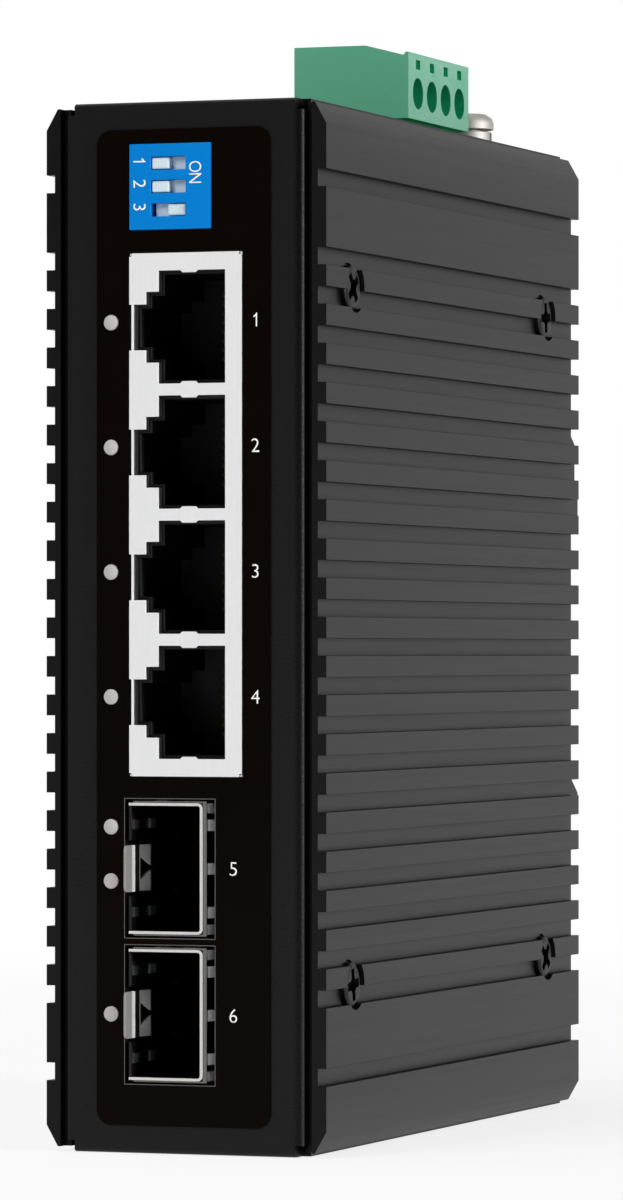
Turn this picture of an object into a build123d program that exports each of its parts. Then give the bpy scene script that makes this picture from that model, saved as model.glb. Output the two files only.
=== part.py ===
from build123d import *
import os

# A network switch for a 35 mm rail: four jacks, two module cages, a green power terminal
# on top and a finned plate on each side. Millimetres. The origin is the middle of the
# bottom face, +X is right, +Y is towards the rail and +Z is up, so the ports face -Y.

os.makedirs("parts", exist_ok=True)

# Sheet-steel box
box_depth = 92.0
sheet = 1.2
bend_outside = 0.5
bend_inside = 0.2
flange_depth = 16.0
fold_gap = 0.1
corner_relief = 1.0
corner_relief_depth = 2.4
tab_depth = 13.6
tab_width = 22.0

# Stack of the openings in the front face, from the bottom up
bottom_margin = 7.75
cage_width = 14.6
cage_gap = 1.7
cage_side_room = 0.45
cage_to_jack = 2.5
jack_pitch = 13.93
jack_end_wall = 1.3
jack_count = 4
jack_to_dip = 2.6
dip_length = 9.6
dip_to_top = 4.7

# Stack across the box, from the left wall to the right wall
board_standoff = 4.85
board_thickness = 1.6
jack_height = 13.45
jack_to_right_wall = 6.0

# Fit between pieces that don't move
seat_gap = 0.1

# Finned side plates
fin_plate_thickness = 2.55
fin_end_inset = 0.35
fin_top_inset = 0.5
fin_chamfer_across = 1.35
fin_chamfer_up = 2.4
groove_depth = 1.0
groove_width = 1.98
groove_pitch = 4.326
groove_places = 24
rebate_width = 0.85
rebate_depth = 1.2

# Screws that hold the side plates to the folded flanges
plate_screw_from_front = 10.1
plate_screw_from_rear = 12.5
plate_screw_low = 18.7
plate_screw_from_top = 20.6
plate_head_radius = 2.4
plate_head_height = 1.25
plate_head_chamfer = 0.35
recess_depth = 0.7
recess_width = 0.65
recess_reach = 0.64
pocket_radius = 2.8
plate_screw_turns = (8, 38, 52, 4)
pocket_below_floor = 0.3
screw_radius = 1.45
tapped_clearance = 0.05
through_clearance = 0.25
screw_past_sheet = 1.6

# Countersunk screws that hold the rear cover
cover_screw_radius = 1.45
cover_head_radius = 2.8
cover_head_height = 1.0
cover_screw_from_rear = 8.0
cover_screw_from_middle = 8.0

# Gloss overlay on the front face
label_width = 20.7
label_centre_x = -0.05
label_bottom = 3.1
label_from_top = 3.1
label_corner = 1.7
label_thickness = 0.25

# Circuit board, fixed to the left plate on four standoffs
board_from_front = 3.5
board_from_rear = 14.5
board_bottom = 3.5
board_from_top = 5.0
standoff_radius = 2.6
board_screw_head_radius = 2.7
board_screw_head_height = 1.9
board_screw_head_chamfer = 0.5
board_screw_grip = 4.0
screw_head_room = 1.0
standoff_rear_from_edge = 6.0
standoff_under_header = 1.5

# Gang of four jacks
jack_depth = 21.0
shield_thickness = 0.25
port_width = 12.6
port_inner_side = 3.5
port_height = 7.95
port_step_one_width = 7.9
port_step_one = 1.5
port_step_two_width = 5.1
port_step_two = 1.3
port_lip = 0.4
port_lip_depth = 0.6
port_cavity_depth = 13.0
shield_tab_width = 2.1
shield_tab_depth = 0.25
shield_tab_from_wall = 4.2
shield_base_inset = 0.26
shield_corner = 0.35
contact_count = 8
contact_pitch = 1.02
contact_size = 0.32
contact_reach = 1.9
contact_knee = 6.0
contact_setback = 0.5
contact_off_wall = 0.1

# Module cages
cage_height = 8.8
cage_length = 48.0
cage_wall = 0.3
cage_corner = 0.6
cage_proud = 0.35
cage_left_room = 0.5
cage_right_room = 1.45
window_length = 5.0
window_width = 2.2
window_from_mouth = 12.0
window_gap = 5.0
window_count = 3
latch_width = 5.2
latch_slot = 0.5
latch_proud = 2.7
latch_lift = 0.45
latch_bend = 0.9
latch_dip = 0.1
latch_ramp = 2.2
latch_crest = 5.8
latch_crown = 1.25
latch_heel = 13.0
latch_root = 14.0
latch_corner = 0.6
latch_hole = 2.7
latch_hole_length = 2.2
latch_hole_from_mouth = 2.4
latch_plate_length = 30.0
lance_length = 1.9
lance_width = 1.1
lance_height = 0.3
lance_from_middle = 4.9
lance_starts = (0.2, 5.1)
finger_sheet = 0.2
finger_width = 1.25
finger_length = 6.0
finger_count = 3
finger_pitch = 4.85
finger_start = 0.15
finger_crest = 1.7
finger_band = 1.6
finger_strip = 0.42
finger_clip_inset = 0.5
finger_clearance = 0.25
corner_finger_width = 1.1
corner_finger_bulge = 0.7
side_finger_places = (3.55, 7.05)
connector_width = 10.0
connector_height = 5.4
connector_length = 9.1
connector_from_mouth = 34.0
connector_slot = 1.2
connector_slot_depth = 6.4
connector_slot_wall = 0.8

# Slide switch block
dip_height = 9.8
dip_depth = 6.5
dip_pitch = 2.6
dip_lever_count = 3
dip_slot_from_board = 2.65
lever_length = 2.1
lever_width = 1.3
lever_travel = 1.9
lever_gap = 0.08
lever_knob_depth = 1.1
lever_foot_length = 5.6
lever_setback = 0.15
lever_chamfer = 0.15
lever_foot_width = 1.8
lever_foot_depth = 0.8

# Light pipes and their lamps
pipe_radius = 0.88
pipe_length = 3.4
pipe_proud = 0.05
pipe_hole_gap = 0.06
pipe_from_board = 0.6
power_lamp_above = 4.6
cage_lamp_below = 1.45
jack_lamp_above = 0.6
pipe_chamfer = 0.12
pipe_to_lamp = 0.3
lamp_size = 1.2
lamp_width = 1.7

# Power terminal on top
pole_pitch = 5.08
pole_count = 4
plug_end_wall = 0.95
plug_from_rear = 14.35
plug_left = -7.45
plug_right = 7.05
plug_height = 11.0
plug_face_bottom = 2.2
plug_face_top = 10.1
plug_slope_start = 1.6
plug_slope_end = 6.4
plug_step_run = 0.25
plug_slope_low = 9.75
plug_undercut = 1.8
plug_lift = 0.3
plug_stem_depth = 8.0
wire_hole_radius = 1.87
wire_hole_height = 5.35
wire_mouth_depth = 3.0
notch_width = 1.6
notch_height = 1.1
notch_above = 8.8
notch_depth = 0.8
clamp_size = 3.7
clamp_length = 4.0
clamp_bore = 2.6
clamp_bore_drop = 0.3
clamp_room = 1.2
clamp_from_mouth = 0.8
clamp_screw_gap = 0.15
clamp_screw_tip = 0.4
clamp_slot_width = 0.6
clamp_slot_depth = 0.8
pin_room = 0.3
clamp_screw_radius = 1.0
clamp_head_radius = 1.6
clamp_head_height = 1.9
header_height = 8.8
header_depth = 12.0
header_wall = 0.9
header_floor = 2.5
pin_size = 1.0
pin_length = 6.5
pin_tail = 1.5

# Earth screw on top
earth_x = 6.0
earth_from_rear = 11.0
earth_washer_radius = 3.5
earth_washer_thickness = 0.9
earth_spring_radius = 2.8
earth_spring_thickness = 1.5
earth_head_radius = 3.0
earth_head_height = 2.2
earth_head_chamfer = 0.9
earth_screw_radius = 1.45
earth_screw_past_sheet = 3.0
earth_split = 0.5

# Clip for a 35 mm rail
rail_height = 35.0
rail_centre = 56.6
rail_gap = 1.4
clip_width = 27.2
clip_base = 3.0
clip_land = 4.5
clip_reach = 9.0
clip_shoulder = 7.7
clip_shoulder_drop = 3.2
clip_top_above_rail = 11.0
clip_lip_below = 3.1
clip_pocket_above = 2.9
clip_nose_overlap = 1.35
clip_nose_drop = 2.15
clip_nose_height = 2.1
clip_foot_below_rail = 4.6
clip_screw_radius = 1.45
clip_screw_head_radius = 2.8
clip_screw_head_height = 1.3
clip_screw_above = 8.0
clip_screw_below = 7.0
clip_screw_spread = 7.5
clip_break = 0.5
clip_rail_room = 0.2
clip_land_length = 4.0
clip_spring_thickness = 0.4
clip_spring_width = 20.0

# Pieces on the board
chip_size = 20.0
chip_from_front = 53.4
chip_thickness = 1.2
thermal_pad_thickness = 1.0
heat_block_size = 24.0
magnetics_length = 9.0
magnetics_width = 11.0
magnetics_height = 6.0
magnetics_behind_jack = 1.0
capacitor_radius = 4.0
capacitor_height = 15.0
capacitor_gap = 1.0
transformer_size = 14.0
transformer_height = 11.0
core_web = 2.0
core_window = 3.1
core_leg = 3.5
winding_fit = 0.1
winding_overhang = 0.8
parts_gap = 2.0
inductor_size = 12.0
inductor_height = 7.5
chips_behind_magnetics = 5.0
controller_size = 9.0
controller_thickness = 0.9
crystal_size = (5.0, 3.2, 1.1)
flash_size = (5.3, 5.2, 1.8)

# Places worked out from the sizes above
cutout_width = cage_width + 2 * cage_side_room
cage_pitch = cage_width + cage_gap
lower_cage_z = bottom_margin + cutout_width / 2
cage_centres = [lower_cage_z + cage_pitch, lower_cage_z]
jack_block = jack_count * jack_pitch + 2 * jack_end_wall
jack_bottom = cage_centres[0] + cutout_width / 2 + cage_to_jack
jack_top = jack_bottom + jack_block
dip_bottom = jack_top + jack_to_dip
dip_top = dip_bottom + dip_length
box_height = dip_top + dip_to_top
box_width = 2 * sheet + board_standoff + board_thickness + jack_height + jack_to_right_wall
wall_x = box_width / 2
front_y = -box_depth / 2
rear_y = box_depth / 2
board_back_x = -wall_x + sheet + board_standoff
board_x = board_back_x + board_thickness
board_front_y = front_y + board_from_front
board_rear_y = rear_y - board_from_rear
board_top = box_height - board_from_top
face_y = front_y - label_thickness
fin_face_x = wall_x + fin_plate_thickness
fin_floor_x = fin_face_x - groove_depth
pocket_floor_x = fin_floor_x - pocket_below_floor
plate_screw_places = [(y, z) for y in (front_y + plate_screw_from_front, rear_y - plate_screw_from_rear)
                      for z in (plate_screw_low, box_height - plate_screw_from_top)]
port_centres = [jack_top - jack_end_wall - jack_pitch * (i + 0.5) for i in range(jack_count)]
pipe_x = board_back_x - pipe_from_board
lever_centres = [(dip_bottom + dip_top) / 2 + dip_pitch * (1 - i) for i in range(dip_lever_count)]
lever_low_x = board_x + dip_slot_from_board
plug_length = pole_count * pole_pitch + 2 * plug_end_wall
plug_rear_y = rear_y - plug_from_rear
plug_middle_y = plug_rear_y - plug_length / 2
pole_places = [plug_middle_y + pole_pitch * (i - (pole_count - 1) / 2) for i in range(pole_count)]
rail_low = rail_centre - rail_height / 2
rail_high = rail_centre + rail_height / 2
earth_y = rear_y - earth_from_rear
magnetics_y = face_y + jack_depth + magnetics_behind_jack + magnetics_length / 2


# A block between a low and a high value on each axis
def block(x, y, z):
    spans = (x, y, z)
    centre = [(low + high) / 2 for low, high in spans]
    return Pos(*centre) * Box(*[high - low for low, high in spans])


def around(middle, width):
    return (middle - width / 2, middle + width / 2)


# Round bars along each axis
def bar_x(span, y, z, radius):
    return Pos(sum(span) / 2, y, z) * Rot(0, 90, 0) * Cylinder(radius, span[1] - span[0])


def bar_y(x, span, z, radius):
    return Pos(x, sum(span) / 2, z) * Rot(90, 0, 0) * Cylinder(radius, span[1] - span[0])


def bar_z(x, y, span, radius):
    return Pos(x, y, sum(span) / 2) * Cylinder(radius, span[1] - span[0])


# A rectangle between two corners, with the corners on one side rounded
def rounded_side(low, high, radius, side):
    flat = Pos((low[0] + high[0]) / 2, (low[1] + high[1]) / 2) * Rectangle(high[0] - low[0], high[1] - low[1])
    return fillet(side(flat.vertices()), radius)


# Outlines lie in the side view (Y, Z), the plan (X, Y) or the front view (X, Z)
def across(outline, x):
    return extrude(Plane.YZ.offset(x[0]) * outline, x[1] - x[0])


def upwards(outline, z):
    return extrude(Pos(0, 0, z[0]) * outline, z[1] - z[0])


def rearwards(outline, y):
    return extrude(Plane.XZ.offset(-y[1]) * outline, y[1] - y[0])


def outline_of(points):
    return make_face(Polyline(*points, close=True))


def group(solids):
    return Compound(children=list(solids))


def save(node, shape):
    export_step(shape, f"parts/{node}.step")


# A folded channel seen in outline: one web and two walls, bent at its corners
def channel(low, high, web_side):
    if web_side == "low y":
        inner_low, inner_high = (low[0] + sheet, low[1] + sheet), (high[0] - sheet, high[1] + 1)
        pick = lambda corners: corners.group_by(Axis.Y)[0]
    elif web_side == "high y":
        inner_low, inner_high = (low[0] + sheet, low[1] - 1), (high[0] - sheet, high[1] - sheet)
        pick = lambda corners: corners.group_by(Axis.Y)[-1]
    elif web_side == "low x":
        inner_low, inner_high = (low[0] + sheet, low[1] + sheet), (high[0] + 1, high[1] - sheet)
        pick = lambda corners: corners.group_by(Axis.X)[0]
    else:
        inner_low, inner_high = (low[0] - 1, low[1] + sheet), (high[0] - sheet, high[1] - sheet)
        pick = lambda corners: corners.group_by(Axis.X)[-1]
    return rounded_side(low, high, bend_outside, pick) - rounded_side(inner_low, inner_high, bend_inside, pick)


# Stepped port outline in the front view, latch side towards the board; grow widens it all round
def port_outline(centre_z, grow):
    high_x = board_x + port_inner_side + port_height
    half = port_width / 2 + grow
    step_one = port_step_one_width / 2 + grow
    step_two = port_step_two_width / 2 + grow
    main_x = board_x + port_inner_side - grow
    one_x = main_x - port_step_one
    two_x = one_x - port_step_two
    right_side = [(high_x + grow, half), (main_x, half), (main_x, step_one), (one_x, step_one),
                  (one_x, step_two), (two_x, step_two)]
    left_side = [(x, -z) for x, z in reversed(right_side)]
    return outline_of([(x, centre_z + z) for x, z in right_side + left_side])


# Front, top and bottom folded from one sheet, with side flanges behind the front face
def make_front_shell():
    wrap = across(channel((front_y, 0), (rear_y, box_height), "low x"), (-wall_x, wall_x))
    for x in ((-wall_x - 1, -wall_x + corner_relief), (wall_x - corner_relief, wall_x + 1)):
        wrap -= block(x, (front_y - 1, front_y + corner_relief_depth), (-1, box_height + 1))
    flange_z = (sheet + fold_gap, box_height - sheet - fold_gap)
    flanges = upwards(channel((-wall_x, front_y), (wall_x, front_y + flange_depth), "low y"), flange_z)
    face_span = (-wall_x + corner_relief, wall_x - corner_relief)
    shell = wrap + (flanges - block(face_span, (front_y - 1, front_y + sheet + 1), (0, box_height)))
    plate_y = (front_y - 1, front_y + sheet + 1)
    shell -= block((board_x - seat_gap, board_x + jack_height + seat_gap), plate_y,
                   (jack_bottom - seat_gap, jack_top + seat_gap))
    shell -= block((board_x - seat_gap, board_x + dip_height + seat_gap), plate_y,
                   (dip_bottom - seat_gap, dip_top + seat_gap))
    for z in cage_centres:
        shell -= block((board_x - cage_left_room, board_x + cage_height + cage_right_room), plate_y,
                       around(z, cutout_width))
    for z in pipe_heights().values():
        shell -= bar_y(pipe_x, plate_y, z, pipe_radius + pipe_hole_gap)
    for y, z in plate_screw_places[:2]:
        shell -= bar_x((-wall_x - 1, wall_x + 1), y, z, screw_radius + tapped_clearance)
    top_z = (box_height - sheet - 1, box_height + 1)
    shell -= block((board_x - seat_gap, board_x + header_height + seat_gap),
                   around(plug_middle_y, plug_length + 2 * seat_gap), top_z)
    shell -= bar_z(earth_x, earth_y, top_z, earth_screw_radius + through_clearance)
    for x, side in cover_screw_places():
        shell -= cover_screw(x, side, tapped_clearance)
    return shell


def pipe_heights():
    heights = {f"light_pipe_{i + 1}": z + jack_lamp_above for i, z in enumerate(port_centres)}
    heights["light_pipe_power"] = cage_centres[0] + power_lamp_above
    for i, z in enumerate(cage_centres):
        heights[f"light_pipe_{i + 1 + jack_count}"] = z - cage_lamp_below * (1 - i)
    return heights


# Countersunk screws: one through the top beside the earth screw, two through the bottom
def cover_screw_places():
    return [(-cover_screw_from_middle, 1), (-cover_screw_from_middle, -1), (cover_screw_from_middle, -1)]


def cover_screw(x, side, grow):
    face = box_height if side > 0 else 0
    length = 2 * sheet + fold_gap + screw_past_sheet
    cone = Cone(cover_screw_radius, cover_head_radius, cover_head_height)
    screw = Pos(0, 0, -cover_head_height / 2) * cone
    screw += bar_z(0, 0, (-length, -cover_head_height), cover_screw_radius + grow)
    if side < 0:
        screw = Rot(180, 0, 0) * screw
    return Pos(x, rear_y - cover_screw_from_rear, face) * screw


def make_cover_screws():
    screws = []
    for x, side in cover_screw_places():
        face = box_height if side > 0 else 0
        y = rear_y - cover_screw_from_rear
        screws.append(cover_screw(x, side, 0) - Pos(x, y, face) * cross(cover_head_radius))
    return group(screws)


# Cross recess of a screw head, lying flat and centred on its face
def cross(head_radius):
    length = 2 * recess_reach * head_radius
    return Box(length, recess_width, 2 * recess_depth) + Box(recess_width, length, 2 * recess_depth)


# Rear cover with flanges along the sides and a tab under the top and over the bottom
def make_rear_cover():
    low, high = sheet + fold_gap, box_height - sheet - fold_gap
    cover = upwards(channel((-wall_x, rear_y - flange_depth), (wall_x, rear_y), "high y"), (low, high))
    half_tab = tab_width / 2
    for z in ((low - 1, low + corner_relief_depth), (high - corner_relief_depth, high + 1)):
        cover -= block((-half_tab, half_tab), (rear_y - corner_relief_depth, rear_y + 1), z)
    cover += across(channel((rear_y - tab_depth, low), (rear_y, high), "high x"), (-half_tab, half_tab))
    for y, z in plate_screw_places[2:]:
        cover -= bar_x((-wall_x - 1, wall_x + 1), y, z, screw_radius + tapped_clearance)
    for x, side in cover_screw_places():
        cover -= cover_screw(x, side, tapped_clearance)
    cover -= bar_z(earth_x, earth_y, (high - sheet - 1, high + 1), earth_screw_radius + tapped_clearance)
    for x, z in clip_screw_places():
        cover -= bar_y(x, (rear_y - sheet - 1, rear_y + 1), z, clip_screw_radius + tapped_clearance)
    return cover


# Finned plate for the right side, an extrusion with pockets milled for its screws
def make_right_plate():
    low, high = fin_top_inset, box_height - fin_top_inset
    shoulder = fin_face_x - fin_chamfer_across
    profile = outline_of([(wall_x, low), (shoulder, low), (fin_face_x, low + fin_chamfer_up),
                          (fin_face_x, high - fin_chamfer_up), (shoulder, high), (wall_x, high)])
    first = (low + high) / 2 + groove_pitch * (groove_places - 1) / 2
    skipped = (1, groove_places - 2)
    for place in range(groove_places):
        z = first - place * groove_pitch
        room = z - groove_width / 2 > low + fin_chamfer_up and z + groove_width / 2 < high - fin_chamfer_up
        if place not in skipped and room:
            profile -= Pos(fin_face_x, z) * Rectangle(2 * groove_depth, groove_width)
    ends = (front_y + fin_end_inset, rear_y - fin_end_inset)
    plate = rearwards(profile, ends)
    for y in ((ends[0] - 1, ends[0] + rebate_depth), (ends[1] - rebate_depth, ends[1] + 1)):
        plate -= block((wall_x - 1, wall_x + rebate_width), y, (low - 1, high + 1))
    for y, z in plate_screw_places:
        plate -= bar_x((pocket_floor_x, fin_face_x + 1), y, z, pocket_radius)
        plate -= bar_x((wall_x - 1, fin_face_x), y, z, screw_radius + through_clearance)
    return plate


def make_right_plate_screws():
    head_x = pocket_floor_x + plate_head_height
    screws = []
    for (y, z), turn in zip(plate_screw_places, plate_screw_turns):
        head = bar_x((pocket_floor_x, head_x), y, z, plate_head_radius)
        head = chamfer(head.edges().group_by(Axis.X)[-1], plate_head_chamfer)
        head -= Pos(head_x, y, z) * Rot(0, 90, 0) * Rot(0, 0, turn) * cross(plate_head_radius)
        shank = bar_x((wall_x - sheet - screw_past_sheet, pocket_floor_x), y, z, screw_radius)
        screws.append(head + shank)
    return group(screws)


# Thin gloss overlay with windows for everything that shows through the front face
def make_front_label():
    outline = Pos(label_centre_x, (label_bottom + box_height - label_from_top) / 2) * RectangleRounded(
        label_width, box_height - label_bottom - label_from_top, label_corner)
    label = rearwards(outline, (face_y, front_y))
    y = (face_y - 1, front_y + 1)
    label -= block((board_x - seat_gap, board_x + jack_height + seat_gap), y,
                   (jack_bottom - seat_gap, jack_top + seat_gap))
    label -= block((board_x - seat_gap, board_x + dip_height + seat_gap), y,
                   (dip_bottom - seat_gap, dip_top + seat_gap))
    for z in cage_centres:
        label -= block((board_x - cage_left_room, board_x + cage_height + cage_right_room), y,
                       around(z, cutout_width))
    for z in pipe_heights().values():
        label -= bar_y(pipe_x, y, z, pipe_radius + pipe_hole_gap)
    return label


def standoff_places():
    front = magnetics_y + magnetics_length / 2 + board_screw_head_radius + screw_head_room
    rear = board_rear_y - standoff_rear_from_edge
    clear = board_screw_head_radius + 2 * screw_head_room
    return [(front, board_top - clear), (front, jack_bottom + clear), (rear, board_bottom + clear),
            (rear, box_height - header_depth - clear - standoff_under_header)]


def make_main_board():
    board = block((board_back_x, board_x), (board_front_y, board_rear_y), (board_bottom, board_top))
    for y, z in standoff_places():
        board -= bar_x((board_back_x - 1, board_x + 1), y, z, screw_radius + through_clearance)
    return board


def make_board_standoffs():
    standoffs = []
    for y, z in standoff_places():
        post = across(Pos(y, z) * RegularPolygon(standoff_radius, 6), (-wall_x, board_back_x))
        standoffs.append(post - bar_x((-wall_x - 1, board_back_x + 1), y, z, screw_radius + tapped_clearance))
    return group(standoffs)


def make_board_screws():
    head_x = board_x + board_screw_head_height
    screws = []
    for y, z in standoff_places():
        head = bar_x((board_x, head_x), y, z, board_screw_head_radius)
        head = chamfer(head.edges().group_by(Axis.X)[-1], board_screw_head_chamfer)
        screws.append(head + bar_x((board_back_x - board_screw_grip, board_x), y, z, screw_radius))
    return group(screws)


# Tinned shield round the gang of jacks, with a base sheet set in from the edge of its face; the
# latch slots of the ports run out over that edge
def make_jack_shield():
    x = (board_x, board_x + jack_height)
    y = (face_y, face_y + jack_depth)
    z = (jack_bottom, jack_top)
    t = shield_thickness
    shield = block(x, y, z) - block((x[0] - 1, x[1] - t), (y[0] + t, y[1] - t), (z[0] + t, z[1] - t))
    tab_x = around(x[1] - shield_tab_from_wall - shield_tab_width, shield_tab_width)
    for centre in port_centres:
        hole = rearwards(port_outline(centre, 0), (y[0] - 1, y[0] + t))
        hole += block((x[0] - 1, x[0] + port_inner_side), (y[0] - 1, y[0] + t), around(centre, port_step_two_width))
        for side in (-1, 1):
            edge = centre + side * port_width / 2
            tip = edge - side * shield_tab_depth
            tab = outline_of([(tab_x[0], edge), (tab_x[0] + shield_tab_depth, tip),
                              (tab_x[1] - shield_tab_depth, tip), (tab_x[1], edge)])
            hole -= rearwards(tab, (y[0] - 1, y[0] + t))
        shield -= hole
    for corner_x in x:
        for corner_z in z:
            shield -= block(around(corner_x, 2 * shield_corner), (y[0] - 1, y[0] + t), around(corner_z, 2 * shield_corner))
    base_x = x[0] + shield_base_inset
    return shield + block((base_x, base_x + t), (y[0], y[1] - t), (z[0] + t, z[1] - t))


# Black moulding inside the shield, with four stepped sockets
def make_jack_housing():
    t = shield_thickness
    x = (board_x + shield_base_inset + t, board_x + jack_height - t)
    y = (face_y + t, face_y + jack_depth - t)
    housing = block(x, y, (jack_bottom + t, jack_top - t))
    for centre in port_centres:
        housing -= rearwards(port_outline(centre, 0), (y[0] - 1, y[0] + port_lip_depth))
        housing -= rearwards(port_outline(centre, -port_lip), (y[0], y[0] + port_cavity_depth))
    return housing


def make_jack_contacts():
    wall = board_x + port_inner_side + port_height - port_lip
    front = face_y + shield_thickness + port_lip_depth + contact_setback
    back = face_y + shield_thickness + port_cavity_depth
    high, low = wall - contact_size / 2 - contact_off_wall, wall - contact_reach
    half = contact_size / 2
    knee = front + contact_knee
    contact = outline_of([(high - half, front), (low - half, knee), (low - half, back),
                          (low + half, back), (low + half, knee), (high + half, front)])
    contacts = []
    for centre in port_centres:
        for i in range(contact_count):
            z = centre + contact_pitch * (i - (contact_count - 1) / 2)
            contacts.append(upwards(contact, around(z, contact_size)))
    return group(contacts)


# Module cage: a folded cover closed at the rear and open at the mouth and towards the board
def make_cage(z):
    x = (board_x, board_x + cage_height)
    mouth = front_y - cage_proud
    y = (mouth, mouth + cage_length)
    t = cage_wall
    half = cage_width / 2
    far_corners = lambda corners: corners.group_by(Axis.X)[-1]
    cage = rearwards(rounded_side((x[0], z - half), (x[1], z + half), cage_corner, far_corners), y)
    cage -= rearwards(rounded_side((x[0] - 1, z - half + t), (x[1] - t, z + half - t), cage_corner - t, far_corners),
                      (y[0] - 1, y[1] - t))
    for i in range(window_count):
        start = mouth + window_from_mouth + i * (window_length + window_gap)
        cage -= block(around(sum(x) / 2, window_width), (start, start + window_length),
                      around(z, cage_width + 2))
    return cage


# Floor of the cage with small raised lances and the sprung latch tongue that sticks out of the mouth
def make_latch_plate(z):
    mouth = front_y - cage_proud
    t = cage_wall
    x = board_x
    inner = cage_width - 2 * t
    plate = block((x, x + t), (mouth, mouth + latch_plate_length), around(z, inner - 2 * seat_gap))
    plate -= block((x - 1, x + t + 1), (mouth - 1, mouth + latch_root), around(z, latch_width + 2 * latch_slot))
    for start in lance_starts:
        for side in (-1, 1):
            plate += block((x + t, x + t + lance_height), (mouth + start, mouth + start + lance_length),
                           around(z + side * lance_from_middle, lance_width))
    tip = mouth - latch_proud
    under = [(x, mouth + latch_root), (x, mouth + latch_heel), (x + latch_crown, mouth + latch_crest),
             (x + latch_dip, mouth + latch_ramp), (x + latch_lift, mouth + latch_bend), (x + latch_lift, tip)]
    tongue = upwards(outline_of(under + [(a + t, b) for a, b in reversed(under)]), around(z, latch_width))
    plan = rounded_side((tip, z - latch_width / 2), (mouth + latch_root, z + latch_width / 2), latch_corner,
                        lambda corners: corners.group_by(Axis.X)[0])
    tongue &= across(plan, (x - 1, x + latch_crown + t + 1))
    base = mouth + latch_hole_from_mouth
    triangle = outline_of([(base, z - latch_hole / 2), (base, z + latch_hole / 2), (base + latch_hole_length, z)])
    return plate + (tongue - across(triangle, (x, x + latch_crown + t + 1)))


# Spring fingers round the outside of the cage: a strip folded over the rim of the mouth, a band
# further back, and fingers that bow out between the two
def make_fingers(z):
    mouth = front_y - cage_proud
    t = finger_sheet
    top_x = board_x + cage_height
    half = cage_width / 2
    rear = mouth + finger_length
    low_x = board_x + finger_clip_inset
    strip_y = (mouth + finger_start, mouth + finger_start + t)
    clip = block((low_x, top_x + finger_strip), strip_y, around(z, cage_width + 2 * t))
    clip += block((low_x, top_x + t), (rear - finger_band, rear), around(z, cage_width + 2 * t))
    clip -= block((board_x, top_x), (mouth - 1, rear + 1), around(z, cage_width))
    right_bulge = cage_right_room - finger_clearance
    for i in range(finger_count):
        centre = z + (i - (finger_count - 1) / 2) * finger_pitch
        clip += upwards(finger_outline(top_x, right_bulge, finger_strip), around(centre, finger_width))
    for side in (-1, 1):
        clip += upwards(finger_outline(top_x, right_bulge * corner_finger_bulge, finger_strip),
                        around(z + side * (half - corner_finger_width / 2), corner_finger_width))
        for place in side_finger_places:
            outline = outline_of([(b, a) for a, b in finger_points(half, cage_side_room - seat_gap, t)])
            finger = across(outline, around(board_x + place, finger_width))
            clip += Pos(0, 0, z) * (finger if side > 0 else mirror(finger, about=Plane.XY))
    return clip


# Side of one finger: from the strip at the mouth it bows outwards and comes back to the band
def finger_points(base, bulge, strip):
    mouth = front_y - cage_proud
    t = finger_sheet
    start, crest, end = mouth + finger_start, mouth + finger_crest, mouth + finger_length - finger_band / 2
    return [(base, start), (base, start + t), (base + bulge - t, crest), (base, end), (base + t, end + t),
            (base + bulge, crest + t), (base + strip, start)]


def finger_outline(base, bulge, strip):
    return outline_of(finger_points(base, bulge, strip))


def make_connector(z):
    front = front_y - cage_proud + connector_from_mouth
    x = (board_x, board_x + connector_height)
    body = block(x, (front, front + connector_length), around(z, connector_width))
    body -= block(around(sum(x) / 2, connector_slot), (front - 1, front + connector_slot_depth),
                  around(z, connector_width - 2 * connector_slot_wall))
    return body


# Blue block of slide switches; each slot is open to the front and widens for the lever's foot
def make_dip_housing():
    front = face_y
    housing = block((board_x, board_x + dip_height), (front, front + dip_depth), (dip_bottom, dip_top))
    knob_room = lever_length + lever_travel + 2 * lever_gap
    foot_room = lever_foot_length + lever_travel + 2 * lever_gap
    middle = lever_low_x + (lever_length + lever_travel) / 2
    for z in lever_centres:
        slot_end = front + lever_knob_depth
        housing -= block(around(middle, knob_room), (front - 1, slot_end + lever_gap),
                         around(z, lever_width + 2 * lever_gap))
        housing -= block(around(middle, foot_room), (slot_end - lever_gap, slot_end + lever_foot_depth + lever_gap),
                         around(z, lever_foot_width + 2 * lever_gap))
    return housing


def make_lever(index):
    at_on = index == dip_lever_count - 1
    middle = lever_low_x + lever_length / 2 + (lever_travel if at_on else 0)
    z = lever_centres[index]
    slot_end = face_y + lever_knob_depth
    knob = block(around(middle, lever_length), (face_y + lever_setback, slot_end), around(z, lever_width))
    knob = chamfer(knob.edges().group_by(Axis.Y)[0], lever_chamfer)
    return knob + block(around(middle, lever_foot_length), (slot_end, slot_end + lever_foot_depth),
                        around(z, lever_foot_width))


def make_light_pipe(z):
    pipe = bar_y(pipe_x, (face_y - pipe_proud, face_y + pipe_length), z, pipe_radius)
    return chamfer(pipe.edges().group_by(Axis.Y)[0], pipe_chamfer)


def make_lamps():
    front = max(face_y + pipe_length + pipe_to_lamp, board_front_y)
    return group(block((board_back_x - lamp_size, board_back_x), (front, front + lamp_size), around(z, lamp_width))
                 for z in pipe_heights().values())


# Socket of the power terminal, mouth up, flush with the top of the box
def make_terminal_header():
    x = (board_x, board_x + header_height)
    z = (box_height - header_depth, box_height)
    y = around(plug_middle_y, plug_length)
    header = block(x, y, z)
    header -= block((x[0] + header_wall, x[1] - header_wall), (y[0] + header_wall, y[1] - header_wall),
                    (z[0] + header_floor, z[1] + 1))
    for pole in pole_places:
        header -= block(around(sum(x) / 2, pin_size), around(pole, pin_size), (z[0] - 1, z[1]))
    return header


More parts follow.
